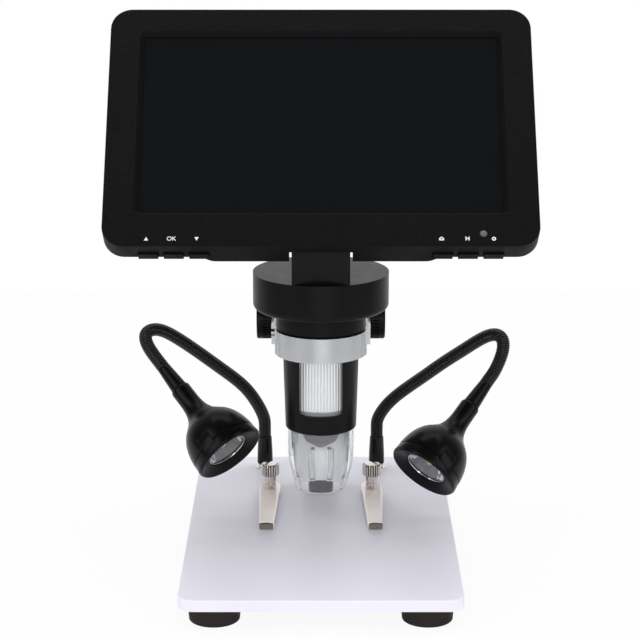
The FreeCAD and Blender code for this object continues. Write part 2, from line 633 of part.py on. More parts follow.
def build_knobs():
    """A fluted grip with a smooth rim outside and a shallow dish in its face."""
    thick = number_of("knob_thick")
    rim = number_of("knob_rim")
    radius = number_of("knob_radius")
    depth = number_of("knob_rib_depth")
    dish = number_of("knob_dish")
    grip = serrated(radius, depth, int(number_of("knob_ribs")), thick - rim)
    bevel = depth
    band = Part.makeCylinder(radius, rim - bevel, FreeCAD.Vector(0, 0, thick - rim))
    edge = Part.makeCone(radius, radius - bevel, bevel, FreeCAD.Vector(0, 0, thick - bevel))
    hollow = Part.makeCylinder(number_of("knob_dish_radius"), dish, FreeCAD.Vector(0, 0, thick - dish))
    bore = Part.makeCylinder(number_of("shaft_radius"), thick)
    knob = grip.fuse([band, edge]).cut(hollow).cut(bore)
    for side, label in ((-1, "focus_knob_left"), (1, "focus_knob_right")):
        piece = formed(label, knob)
        start = side * number_of("block_half_width + knob_gap")
        piece.Placement = FreeCAD.Placement(
            FreeCAD.Vector(start, number_of(SHAFT_Y), number_of(SHAFT_Z)),
            FreeCAD.Rotation(FreeCAD.Vector(0, 1, 0), 90 * side),
        )
        keep(piece, label)


# microscope head
def build_barrel():
    outline = [
        ("barrel_bore", BARREL_LOW), ("barrel_low_radius - barrel_round", BARREL_LOW, "barrel_round"),
        ("barrel_low_radius", f"{BARREL_LOW} + barrel_round"), ("barrel_top_radius", RING_LOW),
        ("ring_bore - running_gap", RING_LOW), ("ring_bore - running_gap", FLANGE_LOW),
        ("flange_radius - flange_bevel", FLANGE_LOW), ("flange_radius", f"{FLANGE_LOW} + flange_bevel"),
        ("flange_radius", DISC_LOW), ("barrel_bore", DISC_LOW),
        ("barrel_bore", f"{BARREL_LOW} + shelf_rise + shelf_high"),
        ("shelf_bore", f"{BARREL_LOW} + shelf_rise + shelf_high"), ("shelf_bore", f"{BARREL_LOW} + shelf_rise"),
        ("barrel_bore", f"{BARREL_LOW} + shelf_rise"),
    ]
    whole = turned("barrel_blank", outline, "0", "head_y")
    window_low = f"{BARREL_LOW} + window_low_rise"
    windows = wide_block("window_half_width", ("head_y - 2 * barrel_bore", "head_y + 2 * barrel_bore"),
                         (window_low, RING_LOW))
    keep(cut(whole, [windows]), "barrel")


def build_head_shells():
    outline = [
        ("barrel_bore", DISC_LOW), ("disc_radius - disc_round", DISC_LOW, "disc_round"),
        ("disc_radius", f"{DISC_LOW} + disc_round"), ("disc_radius", DISC_TOP),
        ("0", DISC_TOP), ("0", f"{DISC_TOP} - disc_wall"),
        ("disc_radius - disc_wall", f"{DISC_TOP} - disc_wall"),
        ("disc_radius - disc_wall", f"{DISC_LOW} + disc_wall"), ("barrel_bore", f"{DISC_LOW} + disc_wall"),
    ]
    for label, span in (("head_shell_front", ("head_y - 2 * disc_radius", "disc_split_y")),
                        ("head_shell_rear", ("disc_split_y", "head_y + 2 * disc_radius"))):
        half = wide_block("2 * disc_radius", span, (f"{DISC_LOW} - disc_high", f"{DISC_TOP} + disc_high"))
        keep(common(turned("disc", outline, "0", "head_y"), half), label)


def build_sensor_board():
    floor = f"({DISC_LOW} + disc_wall)"
    board = rod("board_radius", floor, f"{floor} + board_thick", "0", "head_y")
    chip = wide_block("sensor_half", ("head_y - sensor_half", "head_y + sensor_half"), (f"{floor} - sensor_high", floor))
    keep(join([board, chip]), "sensor_board")


def build_neck():
    """A short arm from the front of the disc to the knuckle that the screen turns on."""
    front = "hinge_y - knuckle_radius"
    rear = "hinge_y + knuckle_radius"
    outline = [
        (f"{front} + neck_undercut", DISC_TOP), (f"{rear} + neck_toe", DISC_TOP),
        (f"{rear} + neck_toe / 4", f"{DISC_TOP} + neck_waist * 0.6"), (rear, f"{DISC_TOP} + neck_waist"),
        (rear, "hinge_z", "knuckle_radius"), ("hinge_y", "hinge_z + knuckle_radius", "knuckle_radius"),
        (front, "hinge_z"), (front, f"{DISC_TOP} + neck_undercut_high"),
    ]
    arm = slab("neck", "YZ_Plane", outline, "2 * neck_half_width", both_ways=True)
    bore = rod("hinge_pin_radius", "-neck_half_width", "neck_half_width", "hinge_y", "hinge_z", along="x")
    keep(cut(arm, [bore]), "hinge_neck")
    half_length = "(neck_half_width + hinge_pin_overhang)"
    pin = rod("hinge_pin_radius", f"-{half_length}", half_length, "hinge_y", "hinge_z", along="x")
    keep(pin, "hinge_pin")


def build_light_ring():
    board_top = f"({BARREL_LOW} + shelf_rise)"
    board_low = f"({board_top} - led_board_thick)"
    board = tube("led_board_radius", "led_board_bore", board_low, board_top, "0", "head_y")
    lights = []
    for index in range(int(number_of("led_count"))):
        angle = f"({index} * 360 / led_count)"
        x = f"led_circle * cos{angle}"
        y = f"head_y + led_circle * sin{angle}"
        lights.append(rod("led_radius", f"{board_low} - led_high", board_low, x, y))
    keep(join([board, *lights]), "led_ring")


def build_shroud():
    """A clear sleeve that keeps stray light out, drawn in towards its foot, with shallow flutes
    inside."""
    low = f"({BARREL_LOW} - shroud_length)"
    shoulder = f"({low} + shroud_curve)"
    outer_run = "(shroud_radius - shroud_foot_radius)"
    inner_foot = "(shroud_foot_radius - shroud_foot_wall)"
    inner_run = f"(shroud_spigot_bore - {inner_foot})"
    outline = [
        (inner_foot, low),
        ("shroud_foot_radius", low,
         f"({outer_run} * {outer_run} + shroud_curve * shroud_curve) / (2 * {outer_run})"),
        ("shroud_radius", shoulder), ("shroud_radius", f"{BARREL_LOW} - running_gap"),
        ("shroud_spigot_radius", f"{BARREL_LOW} - running_gap"),
        ("shroud_spigot_radius", f"{BARREL_LOW} + shroud_spigot_high"),
        ("shroud_spigot_bore", f"{BARREL_LOW} + shroud_spigot_high"),
        ("shroud_spigot_bore", shoulder,
         f"-({inner_run} * {inner_run} + shroud_curve * shroud_curve) / (2 * {inner_run})"),
    ]
    whole = turned("shroud", outline, "0", "head_y")
    flutes = []
    for index in range(int(number_of("flute_count"))):
        angle = f"(({index} + 0.5) * 360 / flute_count)"
        reach = "(shroud_spigot_bore + flute_depth - flute_radius)"
        x = f"{reach} * cos{angle}"
        y = f"head_y + {reach} * sin{angle}"
        flutes.append(rod("flute_radius", f"{low} + flute_low", f"{low} + flute_low + flute_high", x, y))
        flutes.append(ball("flute_radius", x, y, f"{low} + flute_low + flute_high"))
    keep(cut(whole, flutes), "clear_shroud")


def build_focus_wheel():
    """A ribbed rim behind the barrel's window, on a web and a hub that drives the lens cell."""
    low = number_of(f"{BARREL_LOW} + shelf_rise + shelf_high + 4 * running_gap")
    radius = number_of("wheel_radius")
    depth = number_of("wheel_rib_depth")
    wall = number_of("wheel_wall")
    high = number_of("wheel_high")
    rib_high = number_of("wheel_rib_high")
    rib_low = high - rib_high
    ribs = serrated(radius, depth, int(number_of("wheel_ribs")), rib_high)
    ribs.translate(FreeCAD.Vector(0, 0, rib_low))
    rim = Part.makeCylinder(radius - depth, high)
    web_mid = high / 2
    web = number_of("wheel_web")
    hub_high = number_of("wheel_hub_high")
    well = Part.makeCylinder(radius - wall, (high - web) / 2)
    upper_well = Part.makeCylinder(radius - wall, (high - web) / 2, FreeCAD.Vector(0, 0, web_mid + web / 2))
    hub = Part.makeCylinder(number_of("wheel_hub_radius"), hub_high, FreeCAD.Vector(0, 0, web_mid - hub_high / 2))
    bore = Part.makeCylinder(number_of("cell_radius + running_gap"), high)
    shape = ribs.fuse(rim).cut(well).cut(upper_well).fuse(hub).cut(bore)
    wheel = formed("focus_wheel", shape)
    wheel.Placement = FreeCAD.Placement(FreeCAD.Vector(0, number_of("head_y"), low), FreeCAD.Rotation())
    keep(wheel, "focus_wheel")


def build_lens_cell():
    tip = f"({BARREL_LOW} - nose_drop)"
    wide = f"({tip} + nose_high)"
    seat_low = wide
    seat_top = f"({seat_low} + lens_thick + lens_gap * 4)"
    seat_radius = "(lens_radius + lens_gap)"
    outline = [
        ("nose_bore", tip), ("nose_tip_radius", tip), ("nose_shoulder_radius", f"{tip} + nose_shoulder_high"),
        ("cell_radius", wide), ("cell_radius", f"{wide} + cell_high"),
        ("cell_radius - cell_wall", f"{wide} + cell_high"), ("cell_radius - cell_wall", seat_top),
        (seat_radius, seat_top), (seat_radius, seat_low), ("lens_radius * 0.8", seat_low),
        ("nose_bore", f"{tip} + nose_tip_radius"),
    ]
    keep(turned("lens_cell", outline, "0", "head_y"), "lens_cell")
    sag = "(lens_thick / 3)"
    curve = f"((lens_radius * lens_radius + {sag} * {sag}) / (2 * {sag}))"
    lens = [
        ("0", f"{seat_low}", curve), ("lens_radius", f"{seat_low} + {sag}"),
        ("lens_radius", f"{seat_low} + lens_thick - {sag}", curve), ("0", f"{seat_low} + lens_thick"),
    ]
    keep(turned("objective_lens", lens, "0", "head_y"), "objective_lens")


# screen, in its own frame: across, up from the bottom edge, and out of the front face
def screen_outline():
    return rounded("-screen_width / 2", "screen_width / 2", "0", "screen_high", "screen_corner")


def panel_spans(spare="0"):
    """The space behind the bezel's lip that holds the glass and the panel."""
    half = f"window_width / 2 + panel_margin - ({spare})"
    low = f"window_rise - panel_margin + ({spare})"
    high = f"window_rise + window_high + panel_margin - ({spare})"
    return half, (low, high)


def case_screw_places():
    for side in ("-1", "1"):
        for rise in ("case_screw_inset", "screen_high - case_screw_inset"):
            yield f"{side} * (screen_width / 2 - case_screw_inset)", rise


def build_bezel():
    body = slab("bezel", "XY_Plane", screen_outline(), "bezel_depth", offset="-bezel_depth")
    front_round = number_of("screen_width / 2 - screen_corner")
    dress(body, "Fillet", "bezel_round", lambda edge: is_level(edge, 0))
    window = rounded("-window_width / 2", "window_width / 2", "window_rise", "window_rise + window_high",
                     "notch_gap")
    pocket(body, draw(body, "XY_Plane", [window]), "bezel_depth")
    dress(body, "Chamfer", "window_bevel",
          lambda edge: is_level(edge, 0) and abs(edge.CenterOfMass.x) < front_round
          and edge.CenterOfMass.y > number_of("window_rise") - 0.1
          and edge.CenterOfMass.y < number_of("window_rise + window_high") + 0.1)
    doc.recompute()
    half, span = panel_spans()
    room = wide_block(half, span, ("-bezel_depth", "-lip_thick"))
    dot = rod("lamp_dot_radius", "-lamp_dot_depth", "0", LAMP_DOT_X, "lamp_dot_rise")
    pilots = [rod("case_screw_radius", "-bezel_depth", "-lip_thick", x, rise) for x, rise in case_screw_places()]
    keep(on_screen(cut(body, [room, dot, *pilots])), "front_bezel")


def build_panel():
    half, span = panel_spans("panel_gap")
    glass = wide_block(half, span, ("-lip_thick - glass_thick", "-lip_thick"))
    keep(on_screen(group([glass])), "screen_glass")
    panel = wide_block(half, span, ("-bezel_depth", "-lip_thick - glass_thick"))
    keep(on_screen(group([panel])), "lcd_panel")
    dome_rise = "lamp_dot_radius / 3"
    dome = f"((lamp_dot_radius * lamp_dot_radius + {dome_rise} * {dome_rise}) / (2 * {dome_rise}))"
    dot = [
        ("0", "-lamp_dot_depth"), ("lamp_dot_radius", "-lamp_dot_depth"),
        ("lamp_dot_radius", f"-{dome_rise}", dome), ("0", "0"),
    ]
    keep(on_screen(turned("dot", dot), LAMP_DOT_X, "lamp_dot_rise"), "status_lens")


def key_places():
    """The six keys under the screen, three on each side, from the left."""
    names = (("key_up", "-1", 0), ("key_ok", "-1", 1), ("key_down", "-1", 2),
             ("key_camera", "1", 2), ("key_menu", "1", 1), ("key_power", "1", 0))
    for label, side, step in names:
        yield label, f"{side} * (screen_width / 2 - key_edge - {step} * key_pitch)"


def build_rear_cover():
    notch_half = "(neck_half_width + notch_gap)"
    notch_top = "(hinge_rise + knuckle_radius + notch_clear)"
    shell = slab("cover", "XY_Plane", screen_outline(), "rim_depth - bezel_depth", offset="-rim_depth")
    rim_back = -number_of("rim_depth")
    dress(shell, "Fillet", "case_round", lambda edge: is_level(edge, rim_back))
    wide = "(bulge_half_width + bulge_slope / 2)"
    narrow = "(bulge_half_width - bulge_slope / 2)"
    ramp = f"(({wide} - {narrow}) / 2)"
    bow = f"(({ramp} * {ramp} + (bulge_depth / 2) * (bulge_depth / 2)) / bulge_depth)"

    def bulge_outline(inset):
        back = f"-({CASE_BACK} - {inset})"
        rim = f"-(rim_depth - {inset})"
        middle = f"-(rim_depth + bulge_depth / 2 - {inset})"
        return [
            (f"{narrow} - {inset}", back, bow), (f"{narrow} - {inset} + {ramp}", middle, f"-{bow}"),
            (f"{wide} - {inset}", rim), (f"{wide} - {inset}", "-bezel_depth - rear_wall"),
            (f"{inset} - {wide}", "-bezel_depth - rear_wall"), (f"{inset} - {wide}", rim, f"-{bow}"),
            (f"{inset} - {narrow} - {ramp}", middle, bow), (f"{inset} - {narrow}", back),
        ]

    bulge = slab("bulge", "XZ_Plane", bulge_outline("0"), "bulge_high", offset="-bulge_high")
    bulge_room = slab("bulge_room", "XZ_Plane", bulge_outline("rear_wall"),
                      "bulge_high - 2 * rear_wall", offset="rear_wall - bulge_high")
    room = block(("case_wall - screen_width / 2", "screen_width / 2 - case_wall"),
                 ("case_wall", "screen_high - case_wall"), ("rear_wall - rim_depth", "-bezel_depth"))
    corners = slab("corners", "XY_Plane",
                   rounded("case_wall - screen_width / 2", "screen_width / 2 - case_wall", "case_wall",
                           "screen_high - case_wall", "screen_corner - case_wall"),
                   "rim_depth", offset="-rim_depth")
    hollow = common(room, corners)
    cheeks = wide_block(f"{notch_half} + notch_wall", ("0", f"{notch_top} + rear_wall"), (f"-{CASE_BACK}", "-bezel_depth"))
    bosses = [rod("case_boss_radius", "-rim_depth", "-bezel_depth", x, rise) for x, rise in case_screw_places()]
    case = join([cut(join([shell, bulge]), [hollow, bulge_room]), cheeks, *bosses])
    tools = [wide_block(notch_half, ("-rim_depth", notch_top), (f"-2 * {CASE_BACK}", "-bezel_depth"))]
    pin_half = f"({notch_half} + notch_wall)"
    tools.append(rod("hinge_pin_radius + running_gap", f"-{pin_half}", pin_half, "hinge_rise", "-hinge_depth", along="x"))
    for label, x in key_places():
        half = "key_half_width + key_gap"
        wide_half = f"{half} + key_tab"
        slot_depths = ("-key_back - key_gap", "-bezel_depth")
        tools.append(block((f"{x} - ({half})", f"{x} + ({half})"), ("-rim_depth", "key_high + key_gap"), slot_depths))
        tools.append(block((f"{x} - ({wide_half})", f"{x} + ({wide_half})"), ("case_wall", "key_high + key_gap"),
                           slot_depths))
    for x, rise in case_screw_places():
        tools.append(rod("case_screw_radius + screw_gap", "-rim_depth", "-bezel_depth", x, rise))
        tools.append(rod("case_screw_head + screw_gap", "-rim_depth", "screw_head_high - rim_depth", x, rise))
    for index in range(int(number_of("vent_count"))):
        rise = f"(vent_rise + {index} * vent_pitch)"
        tools.append(wide_block("vent_length / 2", (rise, f"{rise} + vent_width"), (f"-{CASE_BACK}", f"rear_wall * 2 - {CASE_BACK}")))
    side_face = "screen_width / 2"
    for rise, long, high in (("port_rise", 9.4, 3.6), ("port_rise + 18", 12.4, 1.8)):
        tools.append(block((f"{side_face} - 2 * case_wall", side_face), (rise, f"{rise} + {long}"),
                           (f"-9 - {high} / 2", f"{high} / 2 - 9")))
    keep(on_screen(cut(case, tools)), "rear_cover")


def build_keys():
    for label, x in key_places():
        cap = wide_block("key_half_width", ("-key_proud", KEY_TOP), ("-key_back", "-key_front"))
        tab = wide_block("key_half_width + key_tab", ("case_wall + key_gap", "case_wall + key_gap + key_tab_high"),
                         ("-key_back", "-key_front"))
        keep(on_screen(join([cap, tab]), x), label)


def build_electronics():
    front = "-(bezel_depth + circuit_thick + 0.2)"
    back = f"({front} - circuit_thick)"
    half = "screen_width / 2 - board_margin"
    board = wide_block(half, ("board_low", "board_high"), (back, front))
    notch = wide_block("neck_half_width + notch_gap + notch_wall + key_gap",
                       ("0", "hinge_rise + knuckle_radius + notch_clear + rear_wall + key_gap"), (f"{back} - 1", "0"))
    chips = [
        block(("-34", "-14"), ("26", "44"), (f"{back} - 1.2", back)),
        block(("10", "22"), ("28", "40"), (f"{back} - 1.2", back)),
        block((f"{half} - 6", "screen_width / 2 - case_wall - running_gap"),
              ("port_rise + 0.3", "port_rise + 9.1"), ("rear_wall + 0.1 - rim_depth", "-bezel_depth - 0.9")),
    ]
    for label, x in key_places():
        chips.append(block((f"{x} - switch_half", f"{x} + switch_half"),
                           (f"{KEY_TOP} + key_travel", "board_low + switch_half"),
                           ("rear_wall + 0.1 - rim_depth", "-bezel_depth - key_travel")))
    keep(on_screen(join([cut(board, [notch]), *chips])), "main_board")
    cell = wide_block("battery_width / 2", ("battery_rise + 1.5", "battery_rise + battery_high"),
                      (f"{back} - 0.1 - battery_thick", f"{back} - 0.1"))
    keep(on_screen(group([cell])), "battery")


def build_case_screws():
    screws = []
    for x, rise in case_screw_places():
        head = rod("case_screw_head", "screw_head_high / 2 - rim_depth", "screw_head_high - rim_depth", x, rise)
        shank = rod("case_screw_radius", "screw_head_high - rim_depth", "-lip_thick - case_screw_radius", x, rise)
        screws.append(join([head, shank]))
    keep(on_screen(group(screws)), "case_screws")


# specimen clips
def build_clips():
    leaf_low = f"({PLATE_TOP} + leaf_gap)"
    nut_low = f"({leaf_low} + leaf_thick + nut_gap)"
    studs = []
    for side in ("-1", "1"):
        studs.append(rod("clip_stud_radius", "foot_high", f"{PLATE_TOP} + clip_stud_high", f"{side} * clip_x", "clip_y"))
    keep(group(studs), "clip_studs")
    for side, name in (("-1", "left"), ("1", "right")):
        x = f"{side} * clip_x"
        build_leaf(f"clip_leaf_{name}", side, x, leaf_low)
        build_clip_nut(f"clip_nut_{name}", x, nut_low)


def build_leaf(label, side, x, low):
    """A strip of spring steel: flat under its nut, a small step up, a long run down to the
    slide, and a turned-up tip with an arched edge. It is drawn from its stud, towards the front."""
    back = "(leaf_back + leaf_half_width)"
    crest = "-(leaf_flat + leaf_step)"
    tip = "-(leaf_reach + leaf_tip_run)"
    under = [(back, "0"), ("-leaf_flat", "0"), (crest, "leaf_rise"), ("-leaf_reach", "0"),
             (tip, "leaf_tip_lift")]
    side_view = under + [(y, f"{z} + leaf_thick") for y, z in reversed(under)]
    strip = slab("strip", "YZ_Plane", side_view[::-1], "4 * leaf_half_width", both_ways=True)
    corner = f"({tip} + leaf_tip_arch)"
    arch = "((leaf_tip_half_width * leaf_tip_half_width + leaf_tip_arch * leaf_tip_arch) / (2 * leaf_tip_arch))"
    plan = [
        ("-leaf_tip_half_width", corner, arch), ("leaf_tip_half_width", corner), ("leaf_half_width", "-leaf_flat"),
        ("leaf_half_width", "leaf_back", "leaf_half_width"), ("0", back, "leaf_half_width"),
        ("-leaf_half_width", "leaf_back"), ("-leaf_half_width", "-leaf_flat"),
    ]
    footprint = slab("footprint", "XY_Plane", plan, "4 * leaf_tip_lift", offset="-leaf_tip_lift")
    hole = rod("clip_stud_radius + running_gap", "-leaf_rise", "leaf_rise")
    leaf = cut(common(strip, footprint), [hole])
    leaf.Placement = FreeCAD.Placement(FreeCAD.Vector(), FreeCAD.Rotation(FreeCAD.Vector(0, 0, 1), 1))
    bind(leaf, {"Placement.Rotation.Angle": f"{side} * leaf_yaw * 1 deg"})
    keep(move(leaf, x, "clip_y", low), label)


def build_clip_nut(label, x, low):
    shank = "nut_shank_radius"
    groove = "(nut_shank_high / 2)"
    bevel = "nut_rib_depth"
    top = "(nut_shank_high + nut_high)"
    dome = "((nut_radius * nut_radius + nut_dome * nut_dome) / (2 * nut_dome))"
    bore_top = f"({top} - nut_dome)"
    outline = [
        ("clip_stud_radius + running_gap", "0"), (shank, "0"), (shank, f"{groove} - nut_groove_high / 2"),
        (f"{shank} - nut_groove", f"{groove} - nut_groove_high / 2"),
        (f"{shank} - nut_groove", f"{groove} + nut_groove_high / 2"),
        (shank, f"{groove} + nut_groove_high / 2"), (shank, "nut_shank_high"),
        (f"nut_radius - 2 * {bevel}", "nut_shank_high"), ("nut_radius", f"nut_shank_high + {bevel}"),
        ("nut_radius", top, dome), ("0", f"{top} + nut_dome"),
        ("0", bore_top), ("clip_stud_radius + running_gap", bore_top),
    ]
    blank = turned("nut", outline, x, "clip_y", low)
    doc.recompute()
    count = int(number_of("nut_ribs"))
    flute_radius = number_of("nut_rib_depth * 1.2")
    reach = number_of("nut_radius")
    flutes = []
    for index in range(count):
        angle = 2 * math.pi * index / count
        place = FreeCAD.Vector(reach * math.cos(angle), reach * math.sin(angle), number_of("nut_shank_high"))
        flutes.append(Part.makeCylinder(flute_radius, number_of("nut_high + nut_dome"), place))
    knurl = formed("knurl", Part.Compound(flutes))
    knurl.Placement = FreeCAD.Placement(
        FreeCAD.Vector(number_of(x), number_of("clip_y"), number_of(low)), FreeCAD.Rotation())
    keep(cut(blank, [knurl]), label)


# lamps
def lamp_frame(lamp, back=0.0):
    """The lamp's own frame: its neck, less a length, at the origin, and its light along +Z."""
    aim = FreeCAD.Vector(*lamp["aim"]).normalize()
    place = FreeCAD.Vector(*lamp["neck"]) - aim * back
    return FreeCAD.Placement(place, FreeCAD.Rotation(FreeCAD.Vector(0, 0, 1), aim))


def gooseneck_path(lamp):
    """The hose's centre line: straight out of the plug, along its route, and straight into the
    cuff. Gives its length, the length of a straight end, and a function that turns a distance
    into a place and a direction."""
    straight = 2 * number_of("hose_radius")
    start = FreeCAD.Vector(number_of(f"{lamp['side']} * lamp_x"), number_of("lamp_y"),
                           number_of(f"{PLATE_TOP} + socket_collar_high + plug_high"))
    up = FreeCAD.Vector(0, 0, 1)
    aim = FreeCAD.Vector(*lamp["aim"]).normalize()
    end = lamp_frame(lamp, number_of("cuff_length")).Base
    first = start + up * straight
    last = end - aim * straight
    route = [FreeCAD.Vector(*point) for point in lamp["route"]]
    poles = [first, first + up * (straight / 2), *route, last - aim * (straight / 2), last]
    spans = len(poles) - 3
    curve = Part.BSplineCurve()
    curve.buildFromPolesMultsKnots(poles, [4] + [1] * (spans - 1) + [4], list(range(spans + 1)), False, 3)
    middle = curve.length()

    def at(distance):
        if distance <= straight:
            return start + FreeCAD.Vector(0, 0, distance), FreeCAD.Vector(0, 0, 1)
        if distance >= straight + middle:
            return end - aim * (2 * straight + middle - distance), aim
        place = curve.parameterAtDistance(distance - straight)
        return curve.value(place), curve.tangent(place)[0]

    return 2 * straight + middle, straight, at


def build_gooseneck(name, lamp):
    """A ribbed steel hose: each rib is four circles of a ruled loft on a steady cross axis."""
    length, straight, at = gooseneck_path(lamp)
    count = int(number_of("hose_ribs"))
    crest = number_of("hose_radius")
    root = number_of("hose_root_radius")
    pitch = (length - 2 * straight) / count
    steady = FreeCAD.Vector(*lamp["seam"])

    def ring(distance, radius):
        place, ahead = at(distance)
        across = (steady - ahead * steady.dot(ahead)).normalize()
        wire = Part.Wire(Part.makeCircle(radius))
        wire.Placement = FreeCAD.Placement(place, FreeCAD.Rotation(across, ahead.cross(across), ahead, "ZXY"))
        return wire

    outside = [ring(0, crest)]
    for index in range(count):
        start = straight + index * pitch
        outside += [ring(start + share * pitch, radius)
                    for share, radius in ((0, root), (0.2, crest), (0.6, crest), (0.8, root))]
    outside += [ring(length - straight, root), ring(length - straight + 0.2 * pitch, crest), ring(length, crest)]
    bore_radius = number_of("hose_bore")
    stations = 48
    inside = [ring(length * index / stations, bore_radius) for index in range(stations + 1)]
    hose = Part.makeLoft(outside, True, True).cut(Part.makeLoft(inside, True, True))
    print(f"gooseneck_{name}: {length:.1f} mm long, rib pitch {pitch:.2f} mm, volume {hose.Volume:.0f} mm3")
    keep(formed("gooseneck", hose), f"gooseneck_{name}")


def build_lamp(name, lamp):
    x = f"{lamp['side']} * lamp_x"
    plug_low = f"({PLATE_TOP} + socket_collar_high)"
    plug_top = f"({plug_low} + plug_high)"
    outline = [
        ("0", f"{plug_low} - plug_length"), ("plug_radius", f"{plug_low} - plug_length"),
        ("plug_radius", f"{plug_low} + running_gap"), ("plug_low_radius", f"{plug_low} + running_gap"),
        ("plug_low_radius", f"{plug_low} + plug_grip_high"), ("plug_top_radius", plug_top),
        ("hose_pin_radius", plug_top), ("hose_pin_radius", f"{plug_top} + hose_pin_length"),
        ("0", f"{plug_top} + hose_pin_length"),
    ]
    keep(turned("plug", outline, x, "lamp_y"), f"lamp_plug_{name}")
    build_gooseneck(name, lamp)

    def lamp_piece(outline, label):
        piece = spun(label, outline)
        piece.Placement = lamp_frame(lamp)
        keep(piece, f"{label}_{name}")

    cuff = [
        ("0", "-cuff_length - hose_pin_length"), ("hose_pin_radius", "-cuff_length - hose_pin_length"),
        ("hose_pin_radius", "-cuff_length"), ("hose_radius", "-cuff_length"), ("cuff_radius", "0"), ("0", "0"),
    ]
    lamp_piece(cuff, "lamp_cuff")
    wall = "bell_wall"
    bell = [
        ("0", "0"), ("bell_neck_radius", "0"), ("bell_neck_radius", "bell_neck_length", "-bell_waist_curve"),
        ("bell_waist_radius", "bell_waist_length", "bell_shoulder_curve"),
        ("bell_radius", "bell_shoulder_length"), ("bell_radius", "bell_seam"),
        (f"bell_radius - {wall}", "bell_seam"), (f"bell_radius - {wall}", "bell_shoulder_length", f"-(bell_shoulder_curve - {wall})"),
        (f"bell_waist_radius - {wall}", f"bell_waist_length + {wall}"), ("0", f"bell_waist_length + {wall}"),
    ]
    lamp_piece(bell, "lamp_housing")
    spigot = f"(bell_radius - {wall} - running_gap)"
    seat = "(bell_length - trim_dish - lamp_lens_lip)"
    lens_back = f"({seat} - lamp_lens_thick)"
    opening = "(lamp_lens_radius - lamp_lens_lip)"
    trim = [
        (f"{spigot} - {wall}", "bell_seam - trim_spigot"), (spigot, "bell_seam - trim_spigot"),
        (spigot, "bell_seam"), ("bell_radius", "bell_seam"),
        ("trim_radius", "bell_length - trim_round", "trim_round"),
        ("trim_radius - trim_round", "bell_length"), (opening, "bell_length - trim_dish"),
        (opening, seat), ("lamp_lens_radius", seat), ("lamp_lens_radius", lens_back),
        (f"{spigot} - {wall}", lens_back),
    ]
    lamp_piece(trim, "lamp_trim")
    lens = [("0", lens_back), ("lamp_lens_radius - running_gap", lens_back),
            ("lamp_lens_radius - running_gap", seat), ("0", seat)]
    lamp_piece(lens, "lamp_lens")
    rim = f"({lens_back} - running_gap)"
    floor = f"({rim} - reflector_deep)"
    thick = "reflector_wall"
    bowl_curve = "(reflector_deep * 2.4)"
    under = f"({floor} - lamp_board_thick)"
    reflector = [
        ("0", under), ("lamp_board_radius", under), ("lamp_board_radius", floor),
        (f"reflector_throat + {thick}", floor, bowl_curve), (f"{spigot} - {wall} - {thick}", f"{rim} - {thick}"),
        (f"{spigot} - {wall} - running_gap", f"{rim} - {thick}"), (f"{spigot} - {wall} - running_gap", rim),
        (opening, rim, f"-{bowl_curve}"), ("reflector_throat", floor),
        ("lamp_led_half", floor), ("lamp_led_half", f"{floor} + lamp_led_high"), ("0", f"{floor} + lamp_led_high"),
    ]
    lamp_piece(reflector, "lamp_reflector")


build_base_plate()
build_feet()
build_column()
build_rack()
build_wiring_cover()
build_lamp_sockets()
build_carriage()
build_pinion_shaft()
build_knobs()
build_barrel()
build_head_shells()
build_sensor_board()
build_neck()
build_light_ring()
build_shroud()
build_focus_wheel()
build_lens_cell()
build_bezel()
build_panel()
build_rear_cover()
build_keys()
build_electronics()
build_case_screws()
build_clips()
for lamp_name, lamp_row in LAMPS.items():
    build_lamp(lamp_name, lamp_row)

doc.recompute()
for thing in doc.Objects:
    if {"Invalid", "Error"} & set(thing.State):
        raise RuntimeError(f"{thing.Label} ({thing.Name}) failed: {thing.State}")
for thing in SUBPARTS:
    if thing.Shape.isNull() or not thing.Shape.isValid() or not thing.Shape.Solids:
        raise RuntimeError(f"{thing.Label} has no valid solid")
os.makedirs("parts", exist_ok=True)
for thing in SUBPARTS:
    thing.Shape.exportStep(f"parts/{thing.Label}.step")
print(f"{len(SUBPARTS)} sub-parts written")
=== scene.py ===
"""Looks of a desk microscope with a tilting screen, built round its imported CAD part.

Everything stands in the part's frame: +Z up, the user on the -Y side. Camera, light and floor are
in metres. The pieces are written in millimetres, and MM scales each of them once.
"""

import json
import math

import bpy
import numpy as np
from mathutils import Matrix, Vector


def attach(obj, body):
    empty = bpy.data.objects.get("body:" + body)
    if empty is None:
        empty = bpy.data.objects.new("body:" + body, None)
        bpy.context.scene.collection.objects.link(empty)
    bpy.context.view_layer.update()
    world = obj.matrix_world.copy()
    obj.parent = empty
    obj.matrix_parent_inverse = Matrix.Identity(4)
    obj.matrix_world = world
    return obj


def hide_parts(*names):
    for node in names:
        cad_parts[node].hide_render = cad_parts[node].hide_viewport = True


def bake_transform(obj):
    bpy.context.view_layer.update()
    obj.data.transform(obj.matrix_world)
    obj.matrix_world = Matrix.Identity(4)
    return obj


MM = 0.001
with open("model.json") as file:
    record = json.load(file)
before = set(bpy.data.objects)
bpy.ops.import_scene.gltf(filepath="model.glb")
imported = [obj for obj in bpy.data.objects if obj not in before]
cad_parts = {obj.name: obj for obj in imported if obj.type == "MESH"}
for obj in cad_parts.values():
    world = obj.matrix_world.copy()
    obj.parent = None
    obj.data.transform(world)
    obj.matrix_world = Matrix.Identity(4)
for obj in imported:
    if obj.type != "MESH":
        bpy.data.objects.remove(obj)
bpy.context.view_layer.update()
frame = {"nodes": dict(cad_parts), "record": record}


# Places that the part shares with its looks, in millimetres and degrees.

